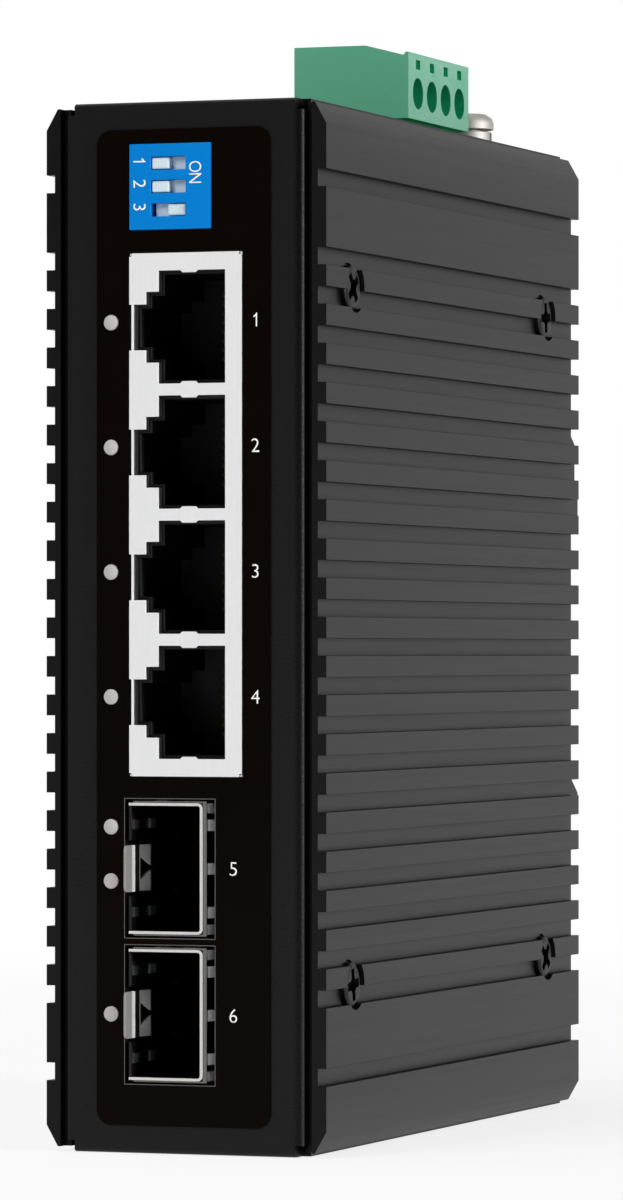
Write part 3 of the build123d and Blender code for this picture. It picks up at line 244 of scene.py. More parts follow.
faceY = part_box("jack_shield")[0].y / mm
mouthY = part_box("module_cage_5")[0].y / mm
finishes = {
    # polyester powder coat, baked on steel: a fine pebble that breaks up every highlight
    "powderCoat": {"colours": ("#121213", "#171717"), "roughness": (0.5, 0.6), "specular": 0.2,
                   "grain": 0.35, "height": 0.025},
    # the same coat on the folded shell, with painted shade: a dark band just before the right-hand fold,
    # where the bend turns away from the light
    "shellCoatFoldShade": {"colours": ("#111112", "#151515"), "roughness": (0.38, 0.46), "specular": 0.2,
                  "grain": 0.3, "height": 0.03,
                  "along": ("X", 12.8, 14.2), "bands": [(0.1, "#ffffff"), (0.5, "#4a4a4a"), (0.68, "#3a3a3a"),
                                                        (0.76, "#ffffff")]},
    # aluminium extrusion, black anodised: satin grey where the sweep grazes it, faint die lines along it
    "blackAnodised": {"colours": ("#0f0f10", "#121213"), "roughness": (0.38, 0.41), "specular": 0.17,
                      "grain": 0.5, "height": 0.001, "stretch": (1, 60, 1)},
    # the anodising again on the plate's broken edges, painted near black and dull: painted shade that draws a
    # dark line along every rib
    "anodisedEdgeShade": {"colours": ("#070707", "#0a0a0a"), "roughness": (0.6, 0.7), "specular": 0.02,
                     "grain": 0.5, "height": 0.001},
    # steel screws, black zinc: as dark as the plate, a little smoother
    "blackZinc": {"colours": ("#131314", "#171718"), "roughness": (0.38, 0.46), "specular": 0.2,
                  "grain": 0.4, "height": 0.003},
    # driver recesses in black-zinc heads, in painted shade: near black, as no light comes back from down
    # there
    "recessShadeZinc": {"colours": ("#040404", "#080808"), "roughness": (0.6, 0.7), "specular": 0.02,
                   "grain": 0.4, "height": 0.003},
    # polycarbonate film, printed black from behind: deep, warm and even
    "glossFilm": {"colours": ("#0a0604", "#0c0705"), "roughness": (0.22, 0.26), "specular": 0.03,
                  "grain": 3.0, "height": 0.001},
    # cut edge of that film, as a painted highlight: a pale grey band where the die-cut edge catches the light
    "filmEdgeHighlight": {"colours": ("#5a5754", "#686562"), "roughness": (0.4, 0.5), "specular": 0.3,
                 "grain": 0.5, "height": 0.002},
    # screen-printed ink, white: matt and slightly raised
    "whiteInk": {"colours": ("#eeecea", "#fbf9f7"), "roughness": (0.45, 0.55), "specular": 0.3,
                 "grain": 0.2, "height": 0.002},
    # tin-plated steel, stamped: pale and soft, with a rolled grain down the strip
    "tinPlate": {"colours": ("#e6e6e7", "#eeeeef"), "roughness": (0.34, 0.42), "metallic": 0.15,
                 "grain": 0.25, "height": 0.002, "stretch": (1, 1, 20)},
    # nickel-plated spring steel, folded: bright at the cut rim, with painted shade turning it black further
    # in, where no light gets
    "springSheet": {"colours": ("#d2d0ce", "#e0dedc"), "roughness": (0.28, 0.36), "metallic": 0.2,
                    "grain": 0.2, "height": 0.003, "stretch": (1, 12, 1),
                    "along": ("Y", mouthY, mouthY + 1.0), "bands": [(0.07, "#ffffff"), (0.16, "#141414")]},
    # the floor of the cage is the same sheet painted near black, as painted shade of the cage's dark; only
    # its lances stand up out of it
    "cageFloor": {"colours": ("#0a0a0a", "#0e0e0e"), "roughness": (0.3, 0.4), "metallic": 0.2,
                  "grain": 0.2, "height": 0.003, "stretch": (1, 12, 1)},
    # the lances: the same sheet again, painted dim grey for the little light they catch, and darker over the
    # nearer half
    "floorLance": {"colours": ("#5a6262", "#6e7676"), "roughness": (0.3, 0.4), "metallic": 0.2,
                   "grain": 0.2, "height": 0.003,
                   "along": ("Y", mouthY, mouthY + 8.0), "bands": [(0.5, "#707070"), (0.6, "#ffffff")]},
    # brushed latch tongue, its light and shade painted along it: a grey tip, a bright lip, painted shade down
    # the dip, grey up the ramp and black beyond
    "brushedTongue": {"colours": ("#d6d5d3", "#f2f1f0"), "roughness": (0.28, 0.4), "metallic": 0.05,
                      "grain": 0.16, "height": 0.006, "stretch": (8, 1, 1),
                      "along": ("Y", mouthY - 3.0, mouthY + 7.0),
                      "bands": [(0.2, "#a2a2a2"), (0.23, "#ffffff"), (0.3, "#ffffff"), (0.31, "#080808"),
                                (0.515, "#080808"), (0.525, "#ffffff"), (0.7, "#e8e8e8"), (0.72, "#050505")]},
    # spring fingers outside the cage, half hidden behind the cut-out: paler than the cage's sheet, as painted
    # light for what they catch, with a grey strip at the mouth and painted shade darkening them further in
    "fingerSheet": {"colours": ("#eeedec", "#f8f7f6"), "roughness": (0.3, 0.4), "metallic": 0.1,
                    "grain": 0.2, "height": 0.003,
                    "along": ("Y", mouthY, mouthY + 4.0),
                    "bands": [(0.09, "#6a6a6a"), (0.1, "#ffffff"), (0.45, "#ffffff"), (0.75, "#0a0a0a")]},
    # glass-filled nylon, moulded: charcoal at the lip, with painted shade turning it black down the socket
    "blackNylon": {"colours": ("#252527", "#2a2a2c"), "roughness": (0.46, 0.56), "specular": 0.3,
                   "grain": 0.25, "height": 0.006,
                   "along": ("Y", faceY, faceY + 1.2), "bands": [(0.3, "#ffffff"), (0.75, "#101010")]},
    # gold flash over nickel on the contacts: darkened and dull, as painted shade of the socket
    "goldPlate": {"colours": ("#3a2c12", "#4a3917"), "roughness": (0.3, 0.4), "metallic": 1.0,
                  "grain": 0.2, "height": 0.001},
    # moulded PBT, blue: clean and slightly soft in its gloss
    "bluePbt": {"colours": ("#0078c9", "#007ccd"), "roughness": (0.42, 0.5), "specular": 0.1,
                "grain": 0.2, "height": 0.003},
    # moulded PBT, white, with a painted cool cast for the blue light that bounces off its slot
    "whitePbt": {"colours": ("#c9dae2", "#d0e1e8"), "roughness": (0.4, 0.48), "specular": 0.4,
                 "grain": 0.2, "height": 0.002},
    # frosted acrylic light pipes: warm grey when unlit
    "frostedPipe": {"colours": ("#b6b2b0", "#bab6b4"), "roughness": (0.4, 0.5), "specular": 0.3,
                    "grain": 0.15, "height": 0.003},
    # moulded polyamide, green: satin, and white where the sweep grazes it
    "greenPolyamide": {"colours": ("#52a180", "#57a786"), "roughness": (0.34, 0.4), "specular": 1.0,
                       "grain": 0.3, "height": 0.005},
    # the same green down the wire entries, deeper and brighter: painted bounce light, as inside them the
    # light comes only off the green walls
    "greenEntryBounceLight": {"colours": ("#12a06c", "#16aa74"), "roughness": (0.5, 0.6), "specular": 0.2,
                   "grain": 0.3, "height": 0.005},
    # nickel plate on the earth screw and its washers: warm and bright, with soft dark bands
    "nickelPlate": {"colours": ("#c4c1bb", "#cecbc6"), "roughness": (0.62, 0.68), "metallic": 1.0,
                    "grain": 0.3, "height": 0.001},
    # bright zinc on hidden fasteners: bluish, a little duller than nickel
    "brightZinc": {"colours": ("#babdc2", "#c8cace"), "roughness": (0.26, 0.34), "metallic": 1.0,
                   "grain": 0.3, "height": 0.002},
    # glass-fibre laminate under dark green solder resist, the weave just showing; near black, partly a dark
    # resist and partly painted shade for a board deep in the case
    "greenLaminate": {"colours": ("#051409", "#07190b"), "roughness": (0.3, 0.4), "specular": 0.3,
                      "grain": 0.4, "height": 0.004},
    # turned brass standoffs: fine rings round the turning axis
    "turnedBrass": {"colours": ("#b3944f", "#c09f5a"), "roughness": (0.26, 0.34), "metallic": 1.0,
                    "grain": 0.3, "height": 0.002, "stretch": (1, 8, 8)},
    # epoxy chip packages: matt black with a sandy mould finish
    "epoxyPackage": {"colours": ("#111112", "#161617"), "roughness": (0.48, 0.58), "specular": 0.3,
                     "grain": 0.2, "height": 0.005},
    # milled aluminium: bright, with cutter lines
    "milledAluminium": {"colours": ("#c2c4c6", "#cccecf"), "roughness": (0.3, 0.4), "metallic": 1.0,
                        "grain": 0.3, "height": 0.003, "stretch": (1, 20, 1)},
    # silicone gap pad: dull grey-blue, soft
    "siliconePad": {"colours": ("#788da3", "#8398ad"), "roughness": (0.66, 0.76), "specular": 0.3,
                    "grain": 0.5, "height": 0.01},
    # sintered ferrite: dark, gritty
    "ferrite": {"colours": ("#28282a", "#2e2e30"), "roughness": (0.6, 0.7), "specular": 0.3,
                "grain": 0.4, "height": 0.01},
    # enamelled copper wire, wound: red-brown with a sheen across the turns
    "enamelledCopper": {"colours": ("#a05a30", "#b06636"), "roughness": (0.26, 0.36), "metallic": 0.9,
                        "grain": 0.4, "height": 0.02, "stretch": (1, 1, 6)},
    # unlit lamps: a drop of yellowish resin
    "lampResin": {"colours": ("#ded8bc", "#e6e0c4"), "roughness": (0.26, 0.34), "specular": 0.5,
                  "grain": 0.3, "height": 0.002},
}
for name, look in finishes.items():
    makeFinish(name, look)
print("materials made:", len(materials))

levers = [f"dip_lever_{i}" for i in (1, 2, 3)]
lightPipes = ["light_pipe_power"] + [f"light_pipe_{i}" for i in range(1, 7)]
# What each carried-over node is finished in
nodeFinish = {
    "powderCoat": ["rear_cover"],
    "shellCoatFoldShade": ["front_shell"],
    "blackAnodised": ["right_fin_plate", "left_fin_plate", "rail_clip"],
    "blackZinc": ["right_plate_screws", "left_plate_screws", "rear_cover_screws", "rail_clip_screws"],
    "glossFilm": ["front_label"],
    "greenLaminate": ["main_board"],
    "turnedBrass": ["board_standoffs"],
    "brightZinc": ["board_screws", "terminal_clamp_screws", "rail_clip_spring", "clock_crystal"],
    "tinPlate": ["jack_shield"],
    "blackNylon": ["jack_housing", "module_connector_5", "module_connector_6"],
    "goldPlate": ["jack_contacts"],
    "bluePbt": ["dip_housing"],
    "whitePbt": levers,
    "lampResin": ["indicator_lamps"],
    "greenPolyamide": ["terminal_header", "terminal_plug"],
    "nickelPlate": ["terminal_pins", "terminal_wire_clamps", "earth_screw", "earth_flat_washer",
                    "earth_spring_washer"],
    "epoxyPackage": ["switch_chip", "power_controller_chip", "flash_chip",
                     *(f"jack_magnetics_{i}" for i in range(1, 5))],
    "siliconePad": ["thermal_pad"],
    "milledAluminium": ["heat_block", "bulk_capacitors"],
    "ferrite": ["power_transformer_core", "power_inductor"],
    "enamelledCopper": ["power_transformer_winding"],
    "springSheet": ["module_cage_5", "module_cage_6"],
    "brushedTongue": ["latch_plate_5", "latch_plate_6"],
    "fingerSheet": ["spring_fingers_5", "spring_fingers_6"],
    "frostedPipe": lightPipes,
}
for name, nodes in nodeFinish.items():
    for node in nodes:
        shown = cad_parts[node]
        shown.data.materials.clear()
        shown.data.materials.append(materials[name])
# the near side of each cage's mouth lies in its own shadow, painted in with the near-black floor finish
nearSide = 0.5
for port in (5, 6):
    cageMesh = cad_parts[f"module_cage_{port}"].data
    cageMesh.materials.append(materials["cageFloor"])
    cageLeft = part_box(f"module_cage_{port}")[0].x
    for face in cageMesh.polygons:
        face.material_index = 1 if face.center.x < cageLeft + nearSide * mm else 0
unfinished = set(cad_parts) - {node for nodes in nodeFinish.values() for node in nodes}
print("nodes finished, left over:", sorted(unfinished))


# A piece takes its finish and further slots, rides on its body and stands in for CAD nodes
def addPiece(name, mesh, finish, body=chassis, stands=(), more=()):
    slots = [face.material_index for face in mesh.polygons]
    mesh.materials.clear()
    for each in (finish, *more):
        mesh.materials.append(materials[each])
    for face, slot in zip(mesh.polygons, slots):
        face.material_index = slot if slot <= len(more) else 0
    mesh.name = name
    piece = bpy.data.objects.new(name, mesh)
    bpy.context.scene.collection.objects.link(piece)
    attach(piece, body)
    if stands:
        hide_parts(*stands)


# Turns an object with live modifiers into a plain mesh and drops the object
def settled(holder):
    bpy.context.view_layer.update()
    mesh = bpy.data.meshes.new_from_object(holder.evaluated_get(bpy.context.evaluated_depsgraph_get()))
    bpy.data.objects.remove(holder)
    return mesh


def placed(mesh):
    holder = bpy.data.objects.new("holder", mesh)
    bpy.context.scene.collection.objects.link(holder)
    return holder


# A face only takes a slot that its mesh has, so this makes room first
def giveSlots(mesh, count):
    for slot in range(count):
        mesh.materials.append(None)


edgeRules = {"merge": 0.002, "flat": 1, "smooth": 35, "break": 40}      # mm, then degrees


# Merges a mesh's loose faces and breaks its edges as the real ones are, with flat faces kept flat.
# The broken edges take the material of edgeSlot, where one is given
def edgesBroken(mesh, width, segments=2, edgeSlot=-1):
    shape = bmesh.new()
    shape.from_mesh(mesh)
    bmesh.ops.remove_doubles(shape, verts=shape.verts, dist=edgeRules["merge"] * mm)
    bmesh.ops.dissolve_limit(shape, angle_limit=math.radians(edgeRules["flat"]), verts=shape.verts,
                             edges=shape.edges)
    clean = meshOf(shape, mesh.name)
    clean.shade_smooth()
    clean.set_sharp_from_angle(angle=math.radians(edgeRules["smooth"]))
    if edgeSlot > 0:
        for face in clean.polygons:
            face.material_index = 0
        giveSlots(clean, edgeSlot + 1)
    holder = placed(clean)
    bevel = holder.modifiers.new("softEdge", "BEVEL")
    bevel.width = width * mm
    bevel.segments = segments
    bevel.limit_method = "ANGLE"
    bevel.angle_limit = math.radians(edgeRules["break"])
    bevel.harden_normals = True
    bevel.material = edgeSlot
    return settled(holder)


def softened(node, width, segments=2):
    return edgesBroken(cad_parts[node].data, width, segments)


# Named inputs of a geometry tree, and the identifiers by which a modifier takes them
def newTree(name, sockets):
    tree = bpy.data.node_groups.new(name, "GeometryNodeTree")
    tree.interface.new_socket("Geometry", in_out="OUTPUT", socket_type="NodeSocketGeometry")
    for label, kind in sockets.items():
        tree.interface.new_socket(label, in_out="INPUT", socket_type="NodeSocket" + kind)
    identifiers = {item.name: item.identifier for item in tree.interface.items_tree
                   if item.in_out == "INPUT"}
    return tree, addNode(tree, "NodeGroupInput").outputs, identifiers


# Ends a tree: the shape is made real and takes its finish
def endTree(tree, shape, finish):
    real = addNode(tree, "GeometryNodeRealizeInstances", links={"Geometry": shape})
    finished = addNode(tree, "GeometryNodeSetMaterial", None, {"Material": materials[finish]},
                       {"Geometry": real})
    addNode(tree, "NodeGroupOutput", links={0: finished})


# Ends a tree with the shape set at every point and turned as the point says
def endAtPoints(tree, points, shape, finish):
    facing = addNode(tree, "GeometryNodeInputNamedAttribute", {"data_type": "FLOAT_VECTOR"},
                     {"Name": "facing"})
    turned = addNode(tree, "FunctionNodeEulerToRotation", links={"Euler": facing.outputs["Attribute"]})
    shapes = addNode(tree, "GeometryNodeInstanceOnPoints",
                     links={"Points": points, "Instance": shape, "Rotation": turned})
    endTree(tree, shapes, finish)


# Runs a geometry tree on a mesh with the given values
def grown(mesh, tree, identifiers, values):
    holder = placed(mesh)
    maker = holder.modifiers.new("maker", "NODES")
    maker.node_group = tree
    for label, value in values.items():
        maker[identifiers[label]] = value
    return settled(holder)


# Finned plate: a chamfered bar with grooves cut at an even pitch and four pockets for its screws
finPlate = {
    "chamferAcross": 1.35, "chamferUp": 2.4, "rebateWidth": 0.85, "rebateDepth": 1.2,
    "grooves": 24, "pitch": 4.326, "grooveWidth": 1.98, "grooveDepth": 1.0, "grooveOverrun": 4.0,
    "pocketRadius": 2.8, "pocketDepth": 1.3, "pocketFront": 9.75, "pocketRear": 12.15,
    "pocketLow": 18.2, "pocketHigh": 20.1, "pocketLength": 4.0, "pocketSides": 48, "edgeBreak": 0.09,
}


# The bar before its grooves: chamfered above and below, and rebated along its front and rear ends
def plateBlank(low, high):
    shoulder = high.x - finPlate["chamferAcross"] * mm
    up = finPlate["chamferUp"] * mm
    levels = [(low.z, shoulder), (low.z + up, high.x), (high.z - up, high.x), (high.z, shoulder)]
    inner = low.x + finPlate["rebateWidth"] * mm
    front, rear = low.y + finPlate["rebateDepth"] * mm, high.y - finPlate["rebateDepth"] * mm
    stations = [(low.y, inner), (front, inner), (front, low.x), (rear, low.x), (rear, inner), (high.y, inner)]
    shape = bmesh.new()
    rings = []
    for z, outer in levels:
        ring = [shape.verts.new((x, y, z)) for y, x in stations]
        ring += [shape.verts.new((outer, high.y, z)), shape.verts.new((outer, low.y, z))]
        rings.append(ring)
    for a, b in zip(rings, rings[1:]):
        for i in range(len(a)):
            j = (i + 1) % len(a)
            shape.faces.new((a[i], a[j], b[j], b[i]))
    shape.faces.new(rings[0])
    shape.faces.new(rings[-1])
    bmesh.ops.recalc_face_normals(shape, faces=shape.faces)
    return meshOf(shape, "plateBlank")


finTree, finIn, finIds = newTree("ribbedPlate", {
    "Geometry": "Geometry", "Grooves": "Int", "Pitch": "Float", "Groove Size": "Vector",
    "First Groove": "Vector", "Pocket Spread Y": "Float", "Pocket Spread Z": "Float",
    "Pocket Centre": "Vector", "Pocket Radius": "Float", "Pocket Length": "Float"})
downwards = addNode(finTree, "ShaderNodeMath", {"operation": "MULTIPLY"}, {1: -1.0}, {0: finIn["Pitch"]})
step = addNode(finTree, "ShaderNodeCombineXYZ", links={"Z": downwards})
grooveLine = addNode(finTree, "GeometryNodeMeshLine", {"mode": "OFFSET"}, None,
                     {"Count": finIn["Grooves"], "Start Location": finIn["First Groove"], "Offset": step})
# the second groove from each end is left solid
place = addNode(finTree, "GeometryNodeInputIndex")
beforeLast = addNode(finTree, "ShaderNodeMath", {"operation": "SUBTRACT"}, {1: 2.0}, {0: finIn["Grooves"]})
notSecond = addNode(finTree, "FunctionNodeCompare", {"data_type": "INT", "operation": "NOT_EQUAL"}, {3: 1},
                    {2: place})
notBeforeLast = addNode(finTree, "FunctionNodeCompare", {"data_type": "INT", "operation": "NOT_EQUAL"}, None,
                        {2: place, 3: beforeLast})
cutHere = addNode(finTree, "FunctionNodeBooleanMath", {"operation": "AND"}, None,
                  {0: notSecond, 1: notBeforeLast})
grooveBar = addNode(finTree, "GeometryNodeMeshCube", links={"Size": finIn["Groove Size"]})
grooveBars = addNode(finTree, "GeometryNodeInstanceOnPoints",
                     links={"Points": grooveLine, "Selection": cutHere, "Instance": grooveBar})
pocketGrid = addNode(finTree, "GeometryNodeMeshGrid", None, {"Vertices X": 2, "Vertices Y": 2},
                     {"Size X": finIn["Pocket Spread Y"], "Size Y": finIn["Pocket Spread Z"]})
pocketPlaces = addNode(finTree, "GeometryNodeTransform", None,
                       {"Rotation": (math.radians(90), 0, math.radians(90))},
                       {"Geometry": pocketGrid, "Translation": finIn["Pocket Centre"]})
pocketBore = addNode(finTree, "GeometryNodeMeshCylinder", None, {"Vertices": finPlate["pocketSides"]},
                     {"Radius": finIn["Pocket Radius"], "Depth": finIn["Pocket Length"]})
pocketBores = addNode(finTree, "GeometryNodeInstanceOnPoints", None, {"Rotation": (0, math.radians(90), 0)},
                      {"Points": pocketPlaces, "Instance": pocketBore})
cutterJoin = addNode(finTree, "GeometryNodeJoinGeometry")
finTree.links.new(grooveBars.outputs["Instances"], cutterJoin.inputs["Geometry"])
finTree.links.new(pocketBores.outputs["Instances"], cutterJoin.inputs["Geometry"])
cutters = addNode(finTree, "GeometryNodeRealizeInstances", links={"Geometry": cutterJoin})
ribbed = addNode(finTree, "GeometryNodeMeshBoolean", {"operation": "DIFFERENCE", "solver": "EXACT"},
                 {"Self Intersection": True},
                 {"Mesh 1": finIn["Geometry"], "Mesh 2": cutters})
endTree(finTree, ribbed, "blackAnodised")

plateLow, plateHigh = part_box("right_fin_plate")
plateFace = plateHigh.x
grooveTop = (plateLow.z + plateHigh.z) / 2 + finPlate["pitch"] * mm * (finPlate["grooves"] - 1) / 2
grooveLength = plateHigh.y - plateLow.y + finPlate["grooveOverrun"] * mm
pocketY = (plateLow.y + finPlate["pocketFront"] * mm, plateHigh.y - finPlate["pocketRear"] * mm)
pocketZ = (plateLow.z + finPlate["pocketLow"] * mm, plateHigh.z - finPlate["pocketHigh"] * mm)
pocketFloor = plateFace - finPlate["pocketDepth"] * mm
ribbedMesh = grown(plateBlank(plateLow, plateHigh), finTree, finIds, {
    "Grooves": finPlate["grooves"], "Pitch": finPlate["pitch"] * mm,
    "Groove Size": (2 * finPlate["grooveDepth"] * mm, grooveLength, finPlate["grooveWidth"] * mm),
    "First Groove": (plateFace, (plateLow.y + plateHigh.y) / 2, grooveTop),
    "Pocket Spread Y": pocketY[1] - pocketY[0], "Pocket Spread Z": pocketZ[1] - pocketZ[0],
    "Pocket Centre": (pocketFloor + finPlate["pocketLength"] * mm / 2, sum(pocketY) / 2, sum(pocketZ) / 2),
    "Pocket Radius": finPlate["pocketRadius"] * mm, "Pocket Length": finPlate["pocketLength"] * mm})
# the broken edges take the second slot, the near-black edge finish: painted shade along the ribs
plateMesh = edgesBroken(ribbedMesh, finPlate["edgeBreak"], segments=1, edgeSlot=1)
mirrored = plateMesh.copy()
mirrored.transform(Matrix.Diagonal((-1, 1, 1, 1)))
mirrored.flip_normals()
addPiece("rightPlate", plateMesh, "blackAnodised", stands=["right_fin_plate"], more=["anodisedEdgeShade"])
addPiece("leftPlate", mirrored, "blackAnodised", stands=["left_fin_plate"], more=["anodisedEdgeShade"])
print("finned plates made:", len(plateMesh.polygons), "faces each")

# Pan-head screws with a cross recess, set at points that carry their own turn
screwTree, screwIn, screwIds = newTree("panScrews", {
    "Geometry": "Geometry", "Head Radius": "Float", "Wall Height": "Float", "Dome Height": "Float",
    "Dome Top": "Float", "Recess Length": "Float", "Recess Width": "Float", "Recess Depth": "Float",
    "Shank Radius": "Float", "Shank Length": "Float"})
screwSides = {"head": 40, "recess": 12, "shank": 24}
headWall = addNode(screwTree, "GeometryNodeMeshCylinder", {"fill_type": "NGON"},
                   {"Vertices": screwSides["head"]},
                   {"Radius": screwIn["Head Radius"], "Depth": screwIn["Wall Height"]})
# the dome is drawn up in two steps from the top of the wall, the first a steep one
dome = {"firstRise": 0.55, "firstNarrowing": 0.3}
halfDome = addNode(screwTree, "ShaderNodeMath", {"operation": "MULTIPLY"}, {1: dome["firstRise"]},
                   {0: screwIn["Dome Height"]})
domeStart = addNode(screwTree, "GeometryNodeExtrudeMesh", {"mode": "FACES"}, {"Individual": False},
                    {"Mesh": headWall, "Selection": headWall.outputs["Top"], "Offset Scale": halfDome})
domeWaist = addNode(screwTree, "ShaderNodeMix", {"data_type": "FLOAT"},
                    {"Factor": dome["firstNarrowing"], "A": 1.0}, {"B": screwIn["Dome Top"]})
domeMiddle = addNode(screwTree, "GeometryNodeScaleElements",
                     links={"Geometry": domeStart, "Selection": domeStart.outputs["Top"],
                            "Scale": domeWaist.outputs["Result"]})
restOfDome = addNode(screwTree, "ShaderNodeMath", {"operation": "MULTIPLY"}, {1: 1 - dome["firstRise"]},
                     {0: screwIn["Dome Height"]})
domeEnd = addNode(screwTree, "GeometryNodeExtrudeMesh", {"mode": "FACES"}, {"Individual": False},
                  {"Mesh": domeMiddle, "Selection": domeStart.outputs["Top"], "Offset Scale": restOfDome})
head = addNode(screwTree, "GeometryNodeScaleElements",
               links={"Geometry": domeEnd, "Selection": domeEnd.outputs["Top"],
                      "Scale": screwIn["Dome Top"]})
halfWall = addNode(screwTree, "ShaderNodeMath", {"operation": "MULTIPLY"}, {1: 0.5},
                   {0: screwIn["Wall Height"]})
wallUp = addNode(screwTree, "ShaderNodeCombineXYZ", links={"Z": halfWall})
headUp = addNode(screwTree, "GeometryNodeTransform", links={"Geometry": head, "Translation": wallUp})
headHeight = addNode(screwTree, "ShaderNodeMath", {"operation": "ADD"}, None,
                     {0: screwIn["Wall Height"], 1: screwIn["Dome Height"]})
wingDepth = addNode(screwTree, "ShaderNodeMath", {"operation": "MULTIPLY"}, {1: 2.0},
                    {0: screwIn["Recess Depth"]})
wingSize = addNode(screwTree, "ShaderNodeCombineXYZ",
                   links={"X": screwIn["Recess Length"], "Y": screwIn["Recess Width"], "Z": wingDepth})
crossSize = addNode(screwTree, "ShaderNodeCombineXYZ",
                    links={"X": screwIn["Recess Width"], "Y": screwIn["Recess Length"], "Z": wingDepth})
wing = addNode(screwTree, "GeometryNodeMeshCube", links={"Size": wingSize})
crossWing = addNode(screwTree, "GeometryNodeMeshCube", links={"Size": crossSize})
hub = addNode(screwTree, "GeometryNodeMeshCylinder", None, {"Vertices": screwSides["recess"]},
              {"Radius": screwIn["Recess Width"], "Depth": wingDepth})
recess = addNode(screwTree, "GeometryNodeJoinGeometry")
for part in (wing, crossWing, hub):
    screwTree.links.new(part.outputs["Mesh"], recess.inputs["Geometry"])
recessUp = addNode(screwTree, "ShaderNodeCombineXYZ", links={"Z": headHeight})
recessPlaced = addNode(screwTree, "GeometryNodeTransform",
                       links={"Geometry": recess, "Translation": recessUp})
cutHead = addNode(screwTree, "GeometryNodeMeshBoolean", {"operation": "DIFFERENCE", "solver": "EXACT"},
                  {"Self Intersection": True},
                  {"Mesh 1": headUp, "Mesh 2": recessPlaced})
shank = addNode(screwTree, "GeometryNodeMeshCylinder", None, {"Vertices": screwSides["shank"]},
                {"Radius": screwIn["Shank Radius"], "Depth": screwIn["Shank Length"]})
shankDown = addNode(screwTree, "ShaderNodeMath", {"operation": "MULTIPLY"}, {1: -0.5},
                    {0: screwIn["Shank Length"]})
shankAt = addNode(screwTree, "ShaderNodeCombineXYZ", links={"Z": shankDown})
shankPlaced = addNode(screwTree, "GeometryNodeTransform", links={"Geometry": shank, "Translation": shankAt})
screw = addNode(screwTree, "GeometryNodeJoinGeometry")
screwTree.links.new(cutHead.outputs["Mesh"], screw.inputs["Geometry"])
screwTree.links.new(shankPlaced.outputs["Geometry"], screw.inputs["Geometry"])
endAtPoints(screwTree, screwIn["Geometry"], screw, "blackZinc")


# Points with a turn each: rows of (place, axis the head looks along, degrees of turn)
def facingPoints(rows):
    mesh = bpy.data.meshes.new("places")
    mesh.from_pydata([place for place, axis, turn in rows], [], [])
    facing = mesh.attributes.new("facing", "FLOAT_VECTOR", "POINT")
    for i, (place, axis, turn) in enumerate(rows):
        towards = Vector(axis).to_track_quat("Z", "Y").to_matrix()
        facing.data[i].vector = (towards @ Matrix.Rotation(math.radians(turn), 3, "Z")).to_euler()
    return mesh


plateScrew = {"radius": 2.5, "wall": 0.74, "dome": 0.26, "domeTop": 0.86,
              "recessLength": 3.6, "recessWidth": 0.95, "recessDepth": 0.8, "turns": (8, 38, 52, 4),
              "shankRadius": 1.4, "shankLength": 4.0, "edgeBreak": 0.05}
clipScrew = {"radius": 2.8, "wall": 0.7, "dome": 0.6, "domeTop": 0.8,
             "recessLength": 3.6, "recessWidth": 0.7, "recessDepth": 0.8, "turns": (20, 65, 5),
             "shankRadius": 1.4, "shankLength": 5.0, "edgeBreak": 0.08}
earthScrew = {"radius": 3.0, "wall": 0.8, "dome": 1.1, "domeTop": 0.74,
              "recessLength": 3.4, "recessWidth": 0.8, "recessDepth": 1.0, "turns": (25,),
              "shankRadius": 1.4, "shankLength": 6.0, "edgeBreak": 0.12}
recessMargin = {"floor": 0.05, "rim": 0.12}


# Screws at their places; faces down in the driver recess get the second slot, for the recess's painted shade
# where that slot is a dark finish
def screwMesh(rows, size):
    made = grown(facingPoints(rows), screwTree, screwIds, {
        "Head Radius": size["radius"] * mm, "Wall Height": size["wall"] * mm,
        "Dome Height": size["dome"] * mm, "Dome Top": size["domeTop"],
        "Recess Length": size["recessLength"] * mm, "Recess Width": size["recessWidth"] * mm,
        "Recess Depth": size["recessDepth"] * mm, "Shank Radius": size["shankRadius"] * mm,
        "Shank Length": size["shankLength"] * mm})
    mesh = edgesBroken(made, size["edgeBreak"])
    giveSlots(mesh, 2)
    top = size["wall"] + size["dome"]
    lowest = (top - size["recessDepth"] - recessMargin["floor"]) * mm
    highest = (top - recessMargin["rim"]) * mm
    for face in mesh.polygons:
        face.material_index = 0
        for spot, axis, turn in rows:
            offset = face.center - Vector(spot)
            up = offset.dot(Vector(axis))
            aside = (offset - up * Vector(axis)).length
            if lowest < up < highest and aside < size["recessLength"] / 2 * mm:
                face.material_index = 1
    return mesh


for side, node in ((1, "right_plate_screws"), (-1, "left_plate_screws")):
    corners = [(y, z) for y in pocketY for z in pocketZ]
    rows = [((side * pocketFloor, y, z), (side, 0, 0), turn)
            for (y, z), turn in zip(corners, plateScrew["turns"])]
    name = "rightPlateScrews" if side > 0 else "leftPlateScrews"
    addPiece(name, screwMesh(rows, plateScrew), "blackZinc", stands=[node], more=["recessShadeZinc"])
print("plate screws set")

clipLow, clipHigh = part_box("rail_clip_screws")
clipRow = [((clipLow.x + clipHigh.x) / 2, clipHigh.z - clipScrew["radius"] * mm),
           (clipLow.x + clipScrew["radius"] * mm, clipLow.z + clipScrew["radius"] * mm),
           (clipHigh.x - clipScrew["radius"] * mm, clipLow.z + clipScrew["radius"] * mm)]
clipHeadHeight = (clipScrew["wall"] + clipScrew["dome"]) * mm
rows = [((x, clipHigh.y - clipHeadHeight, z), (0, 1, 0), turn)
        for (x, z), turn in zip(clipRow, clipScrew["turns"])]
addPiece("clipScrews", screwMesh(rows, clipScrew), "blackZinc", stands=["rail_clip_screws"],
         more=["recessShadeZinc"])

